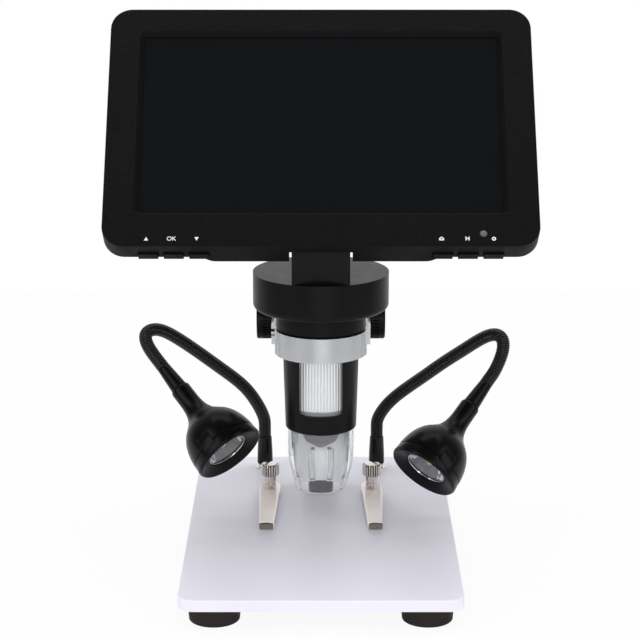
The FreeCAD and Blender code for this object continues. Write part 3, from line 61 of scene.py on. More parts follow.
HEAD_Y = -7.5
WHEEL_LOW = 69.7
SCREEN_LEAN = 39.1
HINGE = (-32.6, 156.6)
HINGE_RISE = 12.0
HINGE_DEPTH = 11.6
CLIP = {"left": -24.3, "right": 24.3}
CLIP_Y = 42.0
PLATE_TOP = 14.0
SOCKET = (27.5, 78.0)
PLUG_LOW = 16.4
HOSE_START = 30.4
CUFF_LENGTH = 12.8

# Each lamp has the side that it stands on, the route of its hose, the place where its bell begins,
# the way its light points, and the degrees round the bell of its latch and of its painted glints.

LAMPS = {
    "left": {
        "side": -1,
        "route": [(-29.6, 73.4, 46.2), (-36, 68.8, 58.3), (-47, 62.3, 68.6), (-57.5, 56.6, 78.4),
                  (-67.6, 50.6, 87.6), (-76.6, 44.6, 94.6), (-82.8, 38.6, 93.6), (-80.8, 32.6, 88.8)],
        "neck": (-64.8, 17, 72.6),
        "aim": (0.59, -0.535, -0.605),
        "latch": -157.0,
        "painted_glint": 98.2,
    },
    "right": {
        "side": 1,
        "route": [(32, 75, 48), (41.2, 70, 57), (50.2, 64.8, 65), (58.8, 58.6, 73.6),
                  (67.6, 52.4, 81.2), (74.2, 47.0, 87.6), (80.4, 41.6, 92.4), (84.8, 36.2, 92.4),
                  (85.4, 31.8, 86.6)],
        "neck": (68.9, 17, 64.6),
        "aim": (-0.56, -0.555, -0.615),
        "latch": -18.0,
        "painted_glint": -93.3,
    },
}

# The camera as solved from the photo, in metres, degrees and millimetres of lens.

CAMERA_PLACE = (-0.0004, -0.9083, 0.3462)
CAMERA_DOWN = 14.6
CAMERA_LENS = 118.1
CAMERA_SENSOR = 36

# What the finishes have in common, with lengths in metres.

IOR = 1.45
DUST_RGB = (150, 148, 144)
DUST_SIZE = 0.0012
GRAIN_GLOSS = 0.02


# Materials

def linear(red, green, blue):
    """A colour as a camera shows it, 0 to 255, as the light it stands for, by the sRGB curve."""
    def one(value):
        value /= 255
        return value / 12.92 if value <= 0.04045 else ((value + 0.055) / 1.055) ** 2.4
    return (one(red), one(green), one(blue), 1.0)


def shade(colour, factor):
    """A colour made lighter or darker by a factor."""
    return (*(min(1.0, channel * factor) for channel in colour[:3]), 1.0)


class Nodes:
    """A short way to write a node tree, from nothing or on top of what it has."""

    def __init__(self, tree, clear=True):
        self.tree = tree
        if clear:
            tree.nodes.clear()

    def add(self, kind, **settings):
        node = self.tree.nodes.new(f"ShaderNode{kind}")
        for name, value in settings.items():
            setattr(node, name, value)
        return node

    def link(self, source, target):
        self.tree.links.new(source, target)

    def noise(self, place, size, detail=3.0, roughness=0.55):
        """Noise whose features are about this many metres across."""
        node = self.add("TexNoise")
        node.inputs["Scale"].default_value = 1 / size
        node.inputs["Detail"].default_value = detail
        node.inputs["Roughness"].default_value = roughness
        self.link(place, node.inputs["Vector"])
        return node.outputs["Fac"]

    def span(self, source, low, high, source_low=0.3, source_high=0.7):
        """The source's middle range, stretched between two values."""
        node = self.add("MapRange")
        node.inputs["From Min"].default_value = source_low
        node.inputs["From Max"].default_value = source_high
        node.inputs["To Min"].default_value = low
        node.inputs["To Max"].default_value = high
        self.link(source, node.inputs["Value"])
        return node.outputs["Result"]

    def mixed(self, factor, first, second):
        """A mix of two colours, each a plain colour or another node's output."""
        node = self.add("Mix", data_type="RGBA")
        for socket, value in (("A", first), ("B", second)):
            target = [item for item in node.inputs if item.name == socket and item.type == "RGBA"][0]
            if isinstance(value, tuple):
                target.default_value = value
            else:
                self.link(value, target)
        self.link(factor, node.inputs[0])
        return [item for item in node.outputs if item.type == "RGBA"][0]

    def math(self, operation, first, second=None):
        """One step of arithmetic on numbers or other nodes' outputs."""
        node = self.add("Math", operation=operation)
        for socket, value in zip(node.inputs, (first, second)):
            if value is None:
                continue
            if isinstance(value, (int, float)):
                socket.default_value = value
            else:
                self.link(value, socket)
        return node.outputs[0]


def finish_of(name, colour, roughness, metallic=0.0, specular=0.5, tone=0.12, tone_size=0.012,
              grain=0.25, grain_size=0.0004, grain_depth=0.00002, uneven=0.2, streak=None,
              dust=0.0, transmission=0.0):
    """A moulded, painted or machined surface: its tone drifts over centimetres, its gloss varies
    over millimetres, and a fine grain breaks up its highlights. Where it has dust, a little of it
    lies on what faces up. A streak scales the grain axis by axis, as on brushed metal."""
    material = bpy.data.materials.new(name)
    material.use_nodes = True
    tree = Nodes(material.node_tree)
    output = tree.add("OutputMaterial")
    surface = tree.add("BsdfPrincipled")
    tree.link(surface.outputs[0], output.inputs["Surface"])
    place = tree.add("TexCoord").outputs["Object"]
    fine_place = place
    if streak:
        mapping = tree.add("Mapping")
        mapping.inputs["Scale"].default_value = streak
        tree.link(place, mapping.inputs["Vector"])
        fine_place = mapping.outputs["Vector"]
    drift = tree.noise(place, tone_size)
    base = tree.mixed(tree.span(drift, 0, 1), shade(colour, 1 - tone), shade(colour, 1 + tone))
    if dust:
        normal = tree.add("SeparateXYZ")
        tree.link(tree.add("NewGeometry").outputs["Normal"], normal.inputs[0])
        facing_up = tree.span(normal.outputs["Z"], 0, 1, source_low=0.4, source_high=1.0)
        specks = tree.span(tree.noise(place, DUST_SIZE, detail=6), 0, dust, source_low=0.45,
                           source_high=0.75)
        base = tree.mixed(tree.math("MULTIPLY", facing_up, specks), base, linear(*DUST_RGB))
    tree.link(base, surface.inputs["Base Color"])
    fine = tree.noise(fine_place, grain_size, detail=2)
    cloud = tree.noise(place, tone_size / 4)
    clouded = tree.span(cloud, roughness * (1 - uneven), roughness * (1 + uneven))
    gloss = tree.math("ADD", clouded, tree.span(fine, -GRAIN_GLOSS, GRAIN_GLOSS))
    tree.link(gloss, surface.inputs["Roughness"])
    bump = tree.add("Bump")
    bump.inputs["Strength"].default_value = grain
    bump.inputs["Distance"].default_value = grain_depth
    tree.link(fine, bump.inputs["Height"])
    tree.link(bump.outputs["Normal"], surface.inputs["Normal"])
    surface.inputs["Metallic"].default_value = metallic
    surface.inputs["Specular IOR Level"].default_value = specular
    surface.inputs["IOR"].default_value = IOR
    surface.inputs["Transmission Weight"].default_value = transmission
    return material


def clear_with_painted_white_rear(name):
    """Clear plastic whose rear half wears painted white: a diffuse share that stands in for the white
    room refracted through its flutes, so that it shows white rather than what is behind.
    """
    least_painted_white = 0.04
    most_painted_white = 0.8
    painted_white_front = (HEAD_Y - 4) * MM
    painted_white_rear = (HEAD_Y + 3) * MM
    material = finish_of(name, linear(252, 253, 254), 0.03, transmission=1.0, tone=0.01,
                         grain=0.05, uneven=0.4)
    tree = Nodes(material.node_tree, clear=False)
    surface = [node for node in material.node_tree.nodes if node.type == "BSDF_PRINCIPLED"][0]
    place = tree.add("SeparateXYZ")
    tree.link(tree.add("TexCoord").outputs["Object"], place.inputs[0])
    # Painted white: the share of diffuse white grows from the front wall to the rear wall.
    painted_white = tree.span(place.outputs["Y"], least_painted_white, most_painted_white, painted_white_front, painted_white_rear)
    tree.link(tree.math("SUBTRACT", 1.0, painted_white), surface.inputs["Transmission Weight"])
    return material


def build_materials():
    """The finishes by slot, with some more that only the scene's own pieces wear."""
    return {
        "plate_paint": finish_of("plate_satin", linear(233, 232, 243), 0.42, specular=0.35, tone=0.02,
                                 tone_size=0.05, grain=0.35, grain_size=0.00035, uneven=0.12),
        "foot_rubber": finish_of("foot_rubber", linear(42, 38, 36), 0.75, specular=0.2, grain=0.6,
                                 grain_size=0.0005, grain_depth=0.00005),
        "screw_steel": finish_of("screw_steel", linear(170, 170, 172), 0.3, metallic=1.0, streak=(1, 1, 12)),
        "column_black": finish_of("column_gloss", linear(14, 14, 16), 0.14, specular=0.35, tone=0.05,
                                  grain=0.08),
        "rack_steel": finish_of("rack_steel", linear(190, 190, 192), 0.32, metallic=1.0, streak=(12, 1, 1)),
        "clip_nickel": finish_of("clip_nickel", linear(228, 221, 214), 0.16, metallic=1.0, tone=0.03,
                                 grain=0.06, streak=(1, 6, 1), uneven=0.3),
        "ring_aluminium": finish_of("ring_aluminium", linear(192, 194, 198), 0.3, metallic=1.0, tone=0.03,
                                    grain=0.05, grain_size=0.00022, grain_depth=0.000005, uneven=0.08),
        "bush_brass": finish_of("bush_brass", linear(196, 164, 96), 0.35, metallic=1.0),
        "case_black": finish_of("case_plastic", linear(16, 16, 18), 0.48, specular=0.07, tone=0.06,
                                tone_size=0.03, grain=0.5, grain_size=0.00045, dust=0.03),
        "head_black": finish_of("head_plastic", linear(15, 15, 16), 0.34, specular=0.12, tone=0.04,
                                tone_size=0.03, grain=0.15, grain_size=0.0004, uneven=0.08,
                                dust=0.02),
        "lamp_black": finish_of("lamp_plastic", linear(9, 9, 10), 0.26, specular=0.16, tone=0.03,
                                tone_size=0.03, grain=0.1, uneven=0.05, dust=0.015),
        "plug_gloss": finish_of("plug_gloss", linear(9, 9, 10), 0.13, specular=0.3, tone=0.03, grain=0.05,
                                uneven=0.1),
        "hose_black": finish_of("hose_steel", linear(14, 14, 15), 0.2, specular=0.6, grain=0.06, dust=0.02),
        # A lighter, less metallic copy of the clip's nickel for the leaf: painted light for the bright room
        # it faces.
        "leaf_nickel_painted_light": finish_of("leaf_nickel_painted_light", linear(250, 243, 239), 0.4, metallic=0.6, tone=0.02,
                                 grain=0.05, streak=(1, 6, 1), uneven=0.1),
        # A darker copy of the nickel for the leaf's turned-up tip: painted shade.
        "leaf_tip_painted_shade": finish_of("leaf_tip_painted_shade", linear(150, 145, 132), 0.3, metallic=0.9, tone=0.06, grain=0.05,
                              uneven=0.2),
        "nickel_shadow": finish_of("nickel_shadow", linear(52, 47, 43), 0.3, metallic=1.0, tone=0.1,
                                   grain=0.1),
        # A darker copy of the reflector's chrome, with blotchy tone: painted dark for what the bowl reflects.
        "bowl_painted_dark": finish_of("bowl_painted_dark", linear(66, 66, 68), 0.16, metallic=1.0, tone=0.3, tone_size=0.003,
                               grain=0.5, grain_size=0.0012, grain_depth=0.0001),
        "wheel_silver": finish_of("wheel_silver", linear(228, 229, 232), 0.36, metallic=0.5, tone=0.01,
                                  grain=0.0, uneven=0.05),
        "shroud_clear": clear_with_painted_white_rear("shroud_clear"),
        "lens_glass": finish_of("lens_glass", linear(250, 252, 253), 0.02, transmission=1.0, tone=0.01,
                                grain=0.03, uneven=0.4),
        "display_glass": finish_of("display_glass", linear(17, 19, 21), 0.12, specular=0.07, tone=0.03,
                                   tone_size=0.06, grain=0.02),
        "display_black": finish_of("display_black", linear(14, 15, 17), 0.2, specular=0.2, grain=0.05),
        "status_grey": finish_of("status_lens", linear(96, 98, 98), 0.25, specular=0.5, grain=0.1),
        "board_green": finish_of("board_green", linear(28, 82, 52), 0.4, specular=0.4, tone=0.2,
                                 tone_size=0.004, grain=0.4),
        "cell_wrap": finish_of("cell_wrap", linear(120, 124, 132), 0.4, specular=0.4),
        "reflector_bright": finish_of("reflector_bright", linear(222, 224, 222), 0.1, metallic=1.0,
                                      tone=0.03, grain=0.4, grain_size=0.0012, grain_depth=0.00008),
        "print_white": finish_of("print_white", linear(226, 228, 228), 0.5, specular=0.2, tone=0.04,
                                 grain=0.2),
        "led_yellow": finish_of("led_yellow", linear(214, 222, 96), 0.35, specular=0.4, tone=0.1, grain=0.2),
        # One dark finish for the lamps' dark seams, the eye of the camera mark, and painted shade in the
        # hose's grooves.
        "dark_print_seam_and_painted_shade": finish_of("dark_print_seam_and_painted_shade", linear(8, 8, 9), 0.7, specular=0.05, grain=0.2),
        "cell_grey": finish_of("cell_grey", linear(92, 92, 96), 0.42, specular=0.2, tone=0.05, grain=0.2),
    }


MATERIALS = build_materials()


def clothe_cad_nodes():
    """Each solid of the part wears its slot's finish. Only the lens cell has a grey of its own."""
    for row in frame["record"]["subparts"]:
        node = frame["nodes"][row["node"]]
        finish = "cell_grey" if row["node"] == "lens_cell" else row["material_slot"]
        node.data.materials.clear()
        node.data.materials.append(MATERIALS[finish])


# Helpers that make meshes

def smooth(mesh, angle=35):
    """Shades a mesh as curved, except over edges sharper than this many degrees."""
    mesh.polygons.foreach_set("use_smooth", [True] * len(mesh.polygons))
    mesh.set_sharp_from_angle(angle=math.radians(angle))


def piece(name, vertices, faces, body, slot, material=None, matrix=None, stands_for=(), angle=35,
          second=None, in_second=()):
    """A mesh in millimetres becomes a piece that rides on a body. Some of its faces may wear a
    second finish."""
    mesh = bpy.data.meshes.new(name)
    mesh.from_pydata([tuple(vertex) for vertex in vertices], [], faces)
    mesh.transform(Matrix.Scale(MM, 4) @ (matrix or Matrix.Identity(4)))
    mesh.update()
    smooth(mesh, angle)
    mesh.materials.append(MATERIALS[material or slot])
    if second:
        mesh.materials.append(MATERIALS[second])
        for index in in_second:
            mesh.polygons[index].material_index = 1
    thing = bpy.data.objects.new(name, mesh)
    bpy.context.scene.collection.objects.link(thing)
    if body:
        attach(thing, body)
    if stands_for:
        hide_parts(*stands_for)
    return thing


def corner_arc(before, corner, after, radius, steps=6):
    """A corner of a profile, rounded with a fillet that takes less than half of either side."""
    most = 0.49
    corner = Vector(corner)
    to_before = Vector(before) - corner
    to_after = Vector(after) - corner
    half = to_before.angle(to_after) / 2
    reach = min(radius / math.tan(half), most * to_before.length, most * to_after.length)
    radius = reach * math.tan(half)
    start = corner + to_before.normalized() * reach
    end = corner + to_after.normalized() * reach
    inward = (to_before.normalized() + to_after.normalized()).normalized()
    centre = corner + inward * (radius / math.sin(half))
    points = []
    for step in range(steps + 1):
        share = step / steps
        spot = start.lerp(end, share) - centre
        points.append(tuple(centre + spot.normalized() * radius))
    return points


def rounded(corners, closed=True):
    """A profile of (across, up, fillet) corners as plain points."""
    points = []
    count = len(corners)
    for index, (across, up, radius) in enumerate(corners):
        if radius <= 0 or (not closed and index in (0, count - 1)):
            points.append((across, up))
            continue
        before = corners[index - 1][:2]
        after = corners[(index + 1) % count][:2]
        points += corner_arc(before, (across, up), after, radius)
    return points


def through(points, steps=6):
    """A smooth open curve through points in a plane."""
    dense = []
    padded = [points[0], *points, points[-1]]
    for index in range(len(points) - 1):
        p0, p1, p2, p3 = (Vector(point) for point in padded[index:index + 4])
        for step in range(steps):
            t = step / steps
            spot = 0.5 * ((2 * p1) + (p2 - p0) * t + (2 * p0 - 5 * p1 + 4 * p2 - p3) * t * t
                          + (3 * p1 - p0 - 3 * p2 + p3) * t ** 3)
            dense.append(tuple(spot))
    dense.append(tuple(points[-1]))
    return dense


def held(share):
    """A share kept between 0 and 1."""
    return max(0.0, min(1.0, share))


def turned(profile, segments=96, closed=True, warp=None):
    """A surface of revolution about Z from (radius, height) points. Points on the axis share a
    vertex. A warp may change a vertex's radius and height from its angle and profile place."""
    on_axis = 1e-6
    vertices = []
    rings = []
    for index, (radius, height) in enumerate(profile):
        if radius < on_axis:
            rings.append([len(vertices)] * segments)
            vertices.append((0, 0, height))
            continue
        ring = []
        for segment in range(segments):
            angle = 2 * math.pi * segment / segments
            reach, level = warp(angle, radius, height, index) if warp else (radius, height)
            ring.append(len(vertices))
            vertices.append((reach * math.cos(angle), reach * math.sin(angle), level))
        rings.append(ring)
    faces = []
    pairs = list(zip(rings, rings[1:]))
    if closed:
        pairs.append((rings[-1], rings[0]))
    for low, high in pairs:
        for segment in range(segments):
            after = (segment + 1) % segments
            face = [low[segment], low[after], high[after], high[segment]]
            face = [vertex for place, vertex in enumerate(face) if vertex != face[place - 1]]
            if len(set(face)) > 2:
                faces.append(face)
    return vertices, faces


def lathe(name, profile, body, slot, matrix=None, segments=96, closed=True, warp=None, marked=None,
          **rest):
    """A turned piece. Faces whose middle is marked, by its angle, radius and height, wear the
    second finish."""
    vertices, faces = turned(profile, segments, closed, warp)
    if marked:
        chosen = []
        for index, face in enumerate(faces):
            x, y, z = (sum(vertices[vertex][axis] for vertex in face) / len(face) for axis in range(3))
            if marked(math.atan2(y, x), math.hypot(x, y), z):
                chosen.append(index)
        rest["in_second"] = chosen
    return piece(name, vertices, faces, body, slot, matrix=matrix, **rest)


def prism(outline, low, high):
    """A closed outline in XY between two heights."""
    count = len(outline)
    vertices = [(x, y, low) for x, y in outline] + [(x, y, high) for x, y in outline]
    faces = [list(range(count))[::-1], list(range(count, 2 * count))]
    faces += [[i, (i + 1) % count, count + (i + 1) % count, count + i] for i in range(count)]
    return vertices, faces


def bevelled(thing, width, segments=3, angle=30):
    """Rounds a piece's sharp edges for good."""
    modifier = thing.modifiers.new("edge", "BEVEL")
    modifier.width = width * MM
    modifier.segments = segments
    modifier.limit_method = "ANGLE"
    modifier.angle_limit = math.radians(angle)
    modifier.harden_normals = False
    modifier.use_clamp_overlap = True
    graph = bpy.context.evaluated_depsgraph_get()
    mesh = bpy.data.meshes.new_from_object(thing.evaluated_get(graph))
    thing.modifiers.clear()
    thing.data = mesh
    smooth(mesh)


def screen_matrix():
    """From the screen's own frame, across, up and out, to the part's frame."""
    lean = math.radians(SCREEN_LEAN)
    up = Vector((0, math.sin(lean), math.cos(lean)))
    out = Vector((0, -math.cos(lean), math.sin(lean)))
    origin = Vector((0, *HINGE)) - up * HINGE_RISE + out * HINGE_DEPTH
    return Matrix((
        (1, up.x, out.x, origin.x),
        (0, up.y, out.y, origin.y),
        (0, up.z, out.z, origin.z),
        (0, 0, 0, 1),
    ))


def lamp_matrix(lamp):
    """From a lamp's own frame, with its light along +Z and its neck at the origin."""
    aim = Vector(lamp["aim"]).normalized()
    turn = Vector((0, 0, 1)).rotation_difference(aim).to_matrix().to_4x4()
    return Matrix.Translation(Vector(lamp["neck"])) @ turn


# Camera, light and floor

def build_camera():
    """The photo's view."""
    data = bpy.data.cameras.new("camera")
    data.sensor_width = CAMERA_SENSOR
    data.lens = CAMERA_LENS
    data.clip_start = 0.05
    camera = bpy.data.objects.new("camera", data)
    bpy.context.scene.collection.objects.link(camera)
    camera.location = CAMERA_PLACE
    camera.rotation_euler = (math.radians(90 - CAMERA_DOWN), 0, 0)
    bpy.context.scene.camera = camera


def softbox(name, place, target, width, height, power):
    """A lit rectangle that faces a target."""
    data = bpy.data.lights.new(name, "AREA")
    data.shape = "RECTANGLE"
    data.size = width
    data.size_y = height
    data.energy = power
    lamp = bpy.data.objects.new(name, data)
    lamp.location = place
    lamp.rotation_euler = (Vector(target) - Vector(place)).to_track_quat("-Z", "Y").to_euler()
    bpy.context.scene.collection.objects.link(lamp)


def build_light():
    """A world that the camera sees as white, that lights evenly, and that reflections see as
    bright behind the part and dark elsewhere, with four softboxes."""
    scene = bpy.context.scene
    scene.view_settings.view_transform = "Standard"
    world = bpy.data.worlds.new("studio")
    world.use_nodes = True
    scene.world = world
    tree = Nodes(world.node_tree)
    output = tree.add("OutputWorld")
    background = tree.add("Background")
    tree.link(background.outputs[0], output.inputs["Surface"])
    path = tree.add("LightPath")
    seen = tree.math("MAXIMUM", path.outputs["Is Camera Ray"], path.outputs["Is Transmission Ray"])
    direction = tree.add("SeparateXYZ")
    tree.link(tree.add("TexCoord").outputs["Generated"], direction.inputs[0])
    mirrored = tree.span(direction.outputs["Y"], 0.14, 1.0, source_low=0.1, source_high=0.8)
    even_light = 0.66
    glossy = path.outputs["Is Glossy Ray"]
    level = tree.math("ADD", tree.math("MULTIPLY", glossy, mirrored),
                      tree.math("MULTIPLY", tree.math("SUBTRACT", 1.0, glossy), even_light))
    level = tree.math("ADD", tree.math("MULTIPLY", tree.math("SUBTRACT", 1.0, seen), level), seen)
    background.inputs["Color"].default_value = (1, 1, 1, 1)
    tree.link(level, background.inputs["Strength"])
    middle = (0, 0, 0.12)
    softbox("left", (-0.75, -0.45, 0.5), middle, width=0.35, height=0.9, power=2.0)
    softbox("right", (0.8, -0.35, 0.45), middle, width=0.3, height=0.9, power=1.6)
    softbox("top", (0.0, 0.1, 1.1), middle, width=0.9, height=0.6, power=3.4)
    softbox("front", (0.06, -1.15, 0.12), (0.0, 0.0, 0.1), width=0.7, height=0.24, power=2.6)


def build_floor():
    """A white floor that shows faint shadows and melts into the white world."""
    size = 0.5
    paper = 0.92
    glow_share = 0.92
    mesh = bpy.data.meshes.new("floor")
    corners = [(-size, -size, 0), (size, -size, 0), (size, size, 0), (-size, size, 0)]
    mesh.from_pydata(corners, [], [[0, 1, 2, 3]])
    floor = bpy.data.objects.new("floor", mesh)
    bpy.context.scene.collection.objects.link(floor)
    material = bpy.data.materials.new("floor_white")
    material.use_nodes = True
    tree = Nodes(material.node_tree)
    output = tree.add("OutputMaterial")
    diffuse = tree.add("BsdfDiffuse")
    diffuse.inputs["Color"].default_value = (paper, paper, paper, 1)
    glow = tree.add("Emission")
    glow.inputs["Color"].default_value = (1, 1, 1, 1)
    glow.inputs["Strength"].default_value = 1.0
    path = tree.add("LightPath")
    indirect = tree.math("MAXIMUM", path.outputs["Is Glossy Ray"], path.outputs["Is Transmission Ray"])
    seen = tree.math("MAXIMUM", path.outputs["Is Camera Ray"], indirect)
    mix = tree.add("MixShader")
    tree.link(tree.math("MULTIPLY", seen, glow_share), mix.inputs[0])
    tree.link(diffuse.outputs[0], mix.inputs[1])
    tree.link(glow.outputs[0], mix.inputs[2])
    tree.link(mix.outputs[0], output.inputs["Surface"])
    mesh.materials.append(material)


# Goosenecks and lamps

def evenly(line, count):
    """Points at even distances along a line of points, and the line's length."""
    runs = np.concatenate([[0], np.cumsum(np.linalg.norm(np.diff(line, axis=0), axis=1))])
    even = np.linspace(0, runs[-1], count)
    return np.stack([np.interp(even, runs, line[:, axis]) for axis in range(3)], axis=1), runs[-1]


def spline_points(poles, count):
    """Points at even distances along a clamped cubic B-spline."""
    degree = 3
    samples = 4000
    poles = np.array(poles, float)
    spans = len(poles) - degree
    knots = np.concatenate([[0] * degree, np.arange(spans + 1), [spans] * degree]).astype(float)

    def value(parameter):
        span = min(int(parameter), spans - 1) + degree
        work = poles[span - degree:span + 1].copy()
        for level in range(1, degree + 1):
            for index in range(degree, level - 1, -1):
                low = knots[span - degree + index]
                high = knots[span + 1 + index - level]
                share = (parameter - low) / (high - low)
                work[index] = (1 - share) * work[index - 1] + share * work[index]
        return work[degree]

    raw = np.array([value(spans * step / samples) for step in range(samples + 1)])
    return evenly(raw, count)[0]


def gooseneck_line(lamp, count):
    """The hose's centre line, with its straight ends, as even points, and its length."""
    straight = 6.0
    samples = 2000
    start = np.array([lamp["side"] * SOCKET[0], SOCKET[1], HOSE_START])
    up = np.array([0, 0, 1.0])
    aim = np.array(Vector(lamp["aim"]).normalized())
    end = np.array(lamp["neck"]) - aim * CUFF_LENGTH
    first = start + up * straight
    last = end - aim * straight
    poles = [first, first + up * straight / 2, *lamp["route"], last - aim * straight / 2, last]
    return evenly(np.concatenate([[start], spline_points(poles, samples), [end]]), count)


def build_gooseneck(name, lamp):
    """A hose of round steel wire wound in a close spiral, black, with painted shade in its grooves."""
    pitch = 0.88
    steps = 9
    crest = 3.05
    groove = 0.5
    painted_shade_share = 0.17
    sides = 32
    _, length = gooseneck_line(lamp, 2)
    turns = round(length / pitch)
    count = turns * steps + 1
    points, _ = gooseneck_line(lamp, count)
    ahead = np.gradient(points, axis=0)
    ahead /= np.linalg.norm(ahead, axis=1)[:, None]
    across = np.cross(ahead[0], (0, 1, 0))
    vertices = []
    for index in range(count):
        across -= ahead[index] * across.dot(ahead[index])
        across /= np.linalg.norm(across)
        other = np.cross(ahead[index], across)
        for side in range(sides):
            angle = 2 * math.pi * side / sides
            phase = (index / steps - side / sides) % 1.0
            reach = crest - groove * (1 - math.sqrt(max(0.0, 1 - (2 * phase - 1) ** 2)))
            outward = math.cos(angle) * across + math.sin(angle) * other
            vertices.append(points[index] + reach * outward)
    faces = []
    groove_shade_faces = []
    for index in range(count - 1):
        low = index * sides
        for side in range(sides):
            after = (side + 1) % sides
            phase = ((index + 0.5) / steps - (side + 0.5) / sides) % 1.0
            # Faces near the bottom of a groove wear painted shade, a darker and duller finish.
            if not painted_shade_share < phase < 1 - painted_shade_share:
                groove_shade_faces.append(len(faces))
            faces.append([low + side, low + after, low + sides + after, low + sides + side])
    faces.append(list(range(sides))[::-1])
    faces.append(list(range((count - 1) * sides, count * sides)))
    hose = piece(f"gooseneck_{name}_spiral", vertices, faces, None, "hose_black",
                 stands_for=[f"gooseneck_{name}"], angle=70, second="dark_print_seam_and_painted_shade", in_second=groove_shade_faces)
    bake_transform(hose)


def build_plug(name, lamp):
    """The smooth moulded plug at the foot of a gooseneck, with a step where the hose enters."""
    matrix = Matrix.Translation((lamp["side"] * SOCKET[0], SOCKET[1], PLUG_LOW))
    body = rounded([(1.6, 0.06, 0.1), (3.75, 0.06, 0.35), (3.8, 1.2, 0.4), (3.72, 6.0, 2.0),
                    (3.36, 13.2, 0.3), (3.3, 13.75, 0.25), (2.95, 14.0, 0.1), (1.6, 14.0, 0.1)])
    lathe(f"plug_{name}_body", body, f"lamp_arm_{name}", "lamp_black", matrix=matrix,
          material="plug_gloss", stands_for=[f"lamp_plug_{name}"])
    tip = rounded([(0.0, -6.0, 0), (1.5, -6.0, 0.6), (1.72, -5.0, 0.2), (1.72, 0.5, 0), (0.0, 0.5, 0)])
    lathe(f"plug_{name}_tip", tip, f"lamp_arm_{name}", "clip_nickel", matrix=matrix)


def build_lamp(name, lamp):
    """A bell-shaped lamp along its own axis: cuff, housing, seam, trim ring, bright rim, clear
    lens, faceted reflector in painted dark chrome with painted glints, LED and latch."""
    matrix = lamp_matrix(lamp)
    body = f"lamp_head_{name}"
    cuff = rounded([(1.4, -CUFF_LENGTH, 0), (3.02, -CUFF_LENGTH, 0.25), (3.1, -CUFF_LENGTH + 1.2, 0.5),
                    (3.85, -0.5, 0.3), (3.6, 0.0, 0.2), (1.4, 0.0, 0)])
    lathe(f"lamp_{name}_cuff", cuff, body, "lamp_black", matrix=matrix, stands_for=[f"lamp_cuff_{name}"])

    outside = through([(4.62, 0.9), (4.65, 5.0), (4.72, 9.0), (5.05, 12.0), (5.85, 15.0), (7.3, 17.6),
                       (9.5, 19.9), (11.9, 22.4), (13.8, 25.4), (15.1, 28.7), (15.85, 31.9), (16.15, 34.2),
                       (16.2, 35.7)])
    inner = [(15.6, 35.85), (14.5, 35.8), (13.6, 29.4), (10.0, 23.4), (0.0, 21.5)]
    start = rounded([(0.0, 0.0, 0), (4.3, 0.0, 0.3), (4.62, 0.9, 0)], closed=False)[:-1]
    lathe(f"lamp_{name}_housing", start + outside + inner, body, "lamp_black", matrix=matrix, closed=False,
          stands_for=[f"lamp_housing_{name}"], angle=50)

    seam = rounded([(15.4, 35.6, 0), (16.0, 35.6, 0), (16.0, 36.15, 0), (15.4, 36.15, 0)])
    lathe(f"lamp_{name}_seam", seam, body, "lamp_black", matrix=matrix, material="dark_print_seam_and_painted_shade")

    trim = rounded([(14.5, 36.1, 0), (16.22, 36.1, 0.12), (16.56, 39.7, 0.5), (15.7, 40.9, 0.55),
                    (10.1, 38.6, 0.35), (9.62, 37.75, 0.1), (10.25, 37.7, 0), (10.25, 35.8, 0),
                    (14.5, 35.8, 0)])
    lathe(f"lamp_{name}_trim", trim, body, "lamp_black", matrix=matrix, stands_for=[f"lamp_trim_{name}"])

    rim = rounded([(9.15, 37.82, 0.1), (9.66, 37.82, 0.15), (9.66, 38.15, 0.15), (9.3, 38.2, 0.12)])
    lathe(f"lamp_{name}_rim", rim, body, "lens_glass", matrix=matrix, material="reflector_bright")

    lens = rounded([(0.0, 36.6, 0), (10.1, 36.6, 0), (10.1, 37.7, 0), (9.2, 37.8, 0.3), (0.0, 38.15, 0)],
                   closed=False)
    lathe(f"lamp_{name}_lens", lens, body, "lens_glass", matrix=matrix, closed=False,
          stands_for=[f"lamp_lens_{name}"])

    bowl = through([(2.6, 31.1), (4.9, 32.4), (7.0, 34.2), (8.6, 35.8), (9.6, 36.5)], steps=5)
    back = [(10.1, 36.5), (10.1, 36.1), (5.6, 32.1), (3.2, 30.6), (0.0, 30.6)]
    facet_rows = range(2, len(bowl))
    facets = 6
    half_facets = 0.35
    facet_draw = 0.05
    facet_lift = 0.25
    glint_inner = 4.4
    glint_outer = 9.7
    glint_narrow = 6
    glint_base = 1.6

    def facet(angle, radius, height, index):
        """Draws the bowl in and out round its axis, so that it reads as facets."""
        if index not in facet_rows:
            return radius, height
        share = math.cos(facets * angle) + half_facets * math.cos(2 * facets * angle)
        return radius * (1 - facet_draw * share), height + facet_lift * share

    def painted_glints(angle, radius, height):
        """Painted glints: faces at two opposite ends of the bowl that wear bright chrome, in a pattern
        of crossed waves.
        """
        turn = angle - math.radians(lamp["painted_glint"])
        near = abs(math.cos(turn)) ** glint_narrow
        pattern = math.sin(17 * turn + 1.3 * radius) + 0.8 * math.sin(2.9 * radius - 7 * turn)
        return glint_inner < radius < glint_outer and near * (glint_base + pattern) > 1.0

    # The bowl wears painted dark chrome, and its painted glints wear the bright chrome.
    lathe(f"lamp_{name}_reflector", [(0.0, 31.1), *bowl, *back], body, "reflector_bright", matrix=matrix,
          closed=False, warp=facet, stands_for=[f"lamp_reflector_{name}"], angle=60, segments=144,
          material="bowl_painted_dark", second="reflector_bright", marked=painted_glints)
    led = rounded([(0.0, 31.1, 0), (1.4, 31.1, 0), (1.4, 34.3, 0.15), (1.1, 34.9, 0.3), (0.0, 35.2, 0)],
                  closed=False)
    lathe(f"lamp_{name}_led", led, body, "status_grey", matrix=matrix, closed=False, segments=32,
          material="led_yellow")
    build_latch(name, lamp, matrix, body)


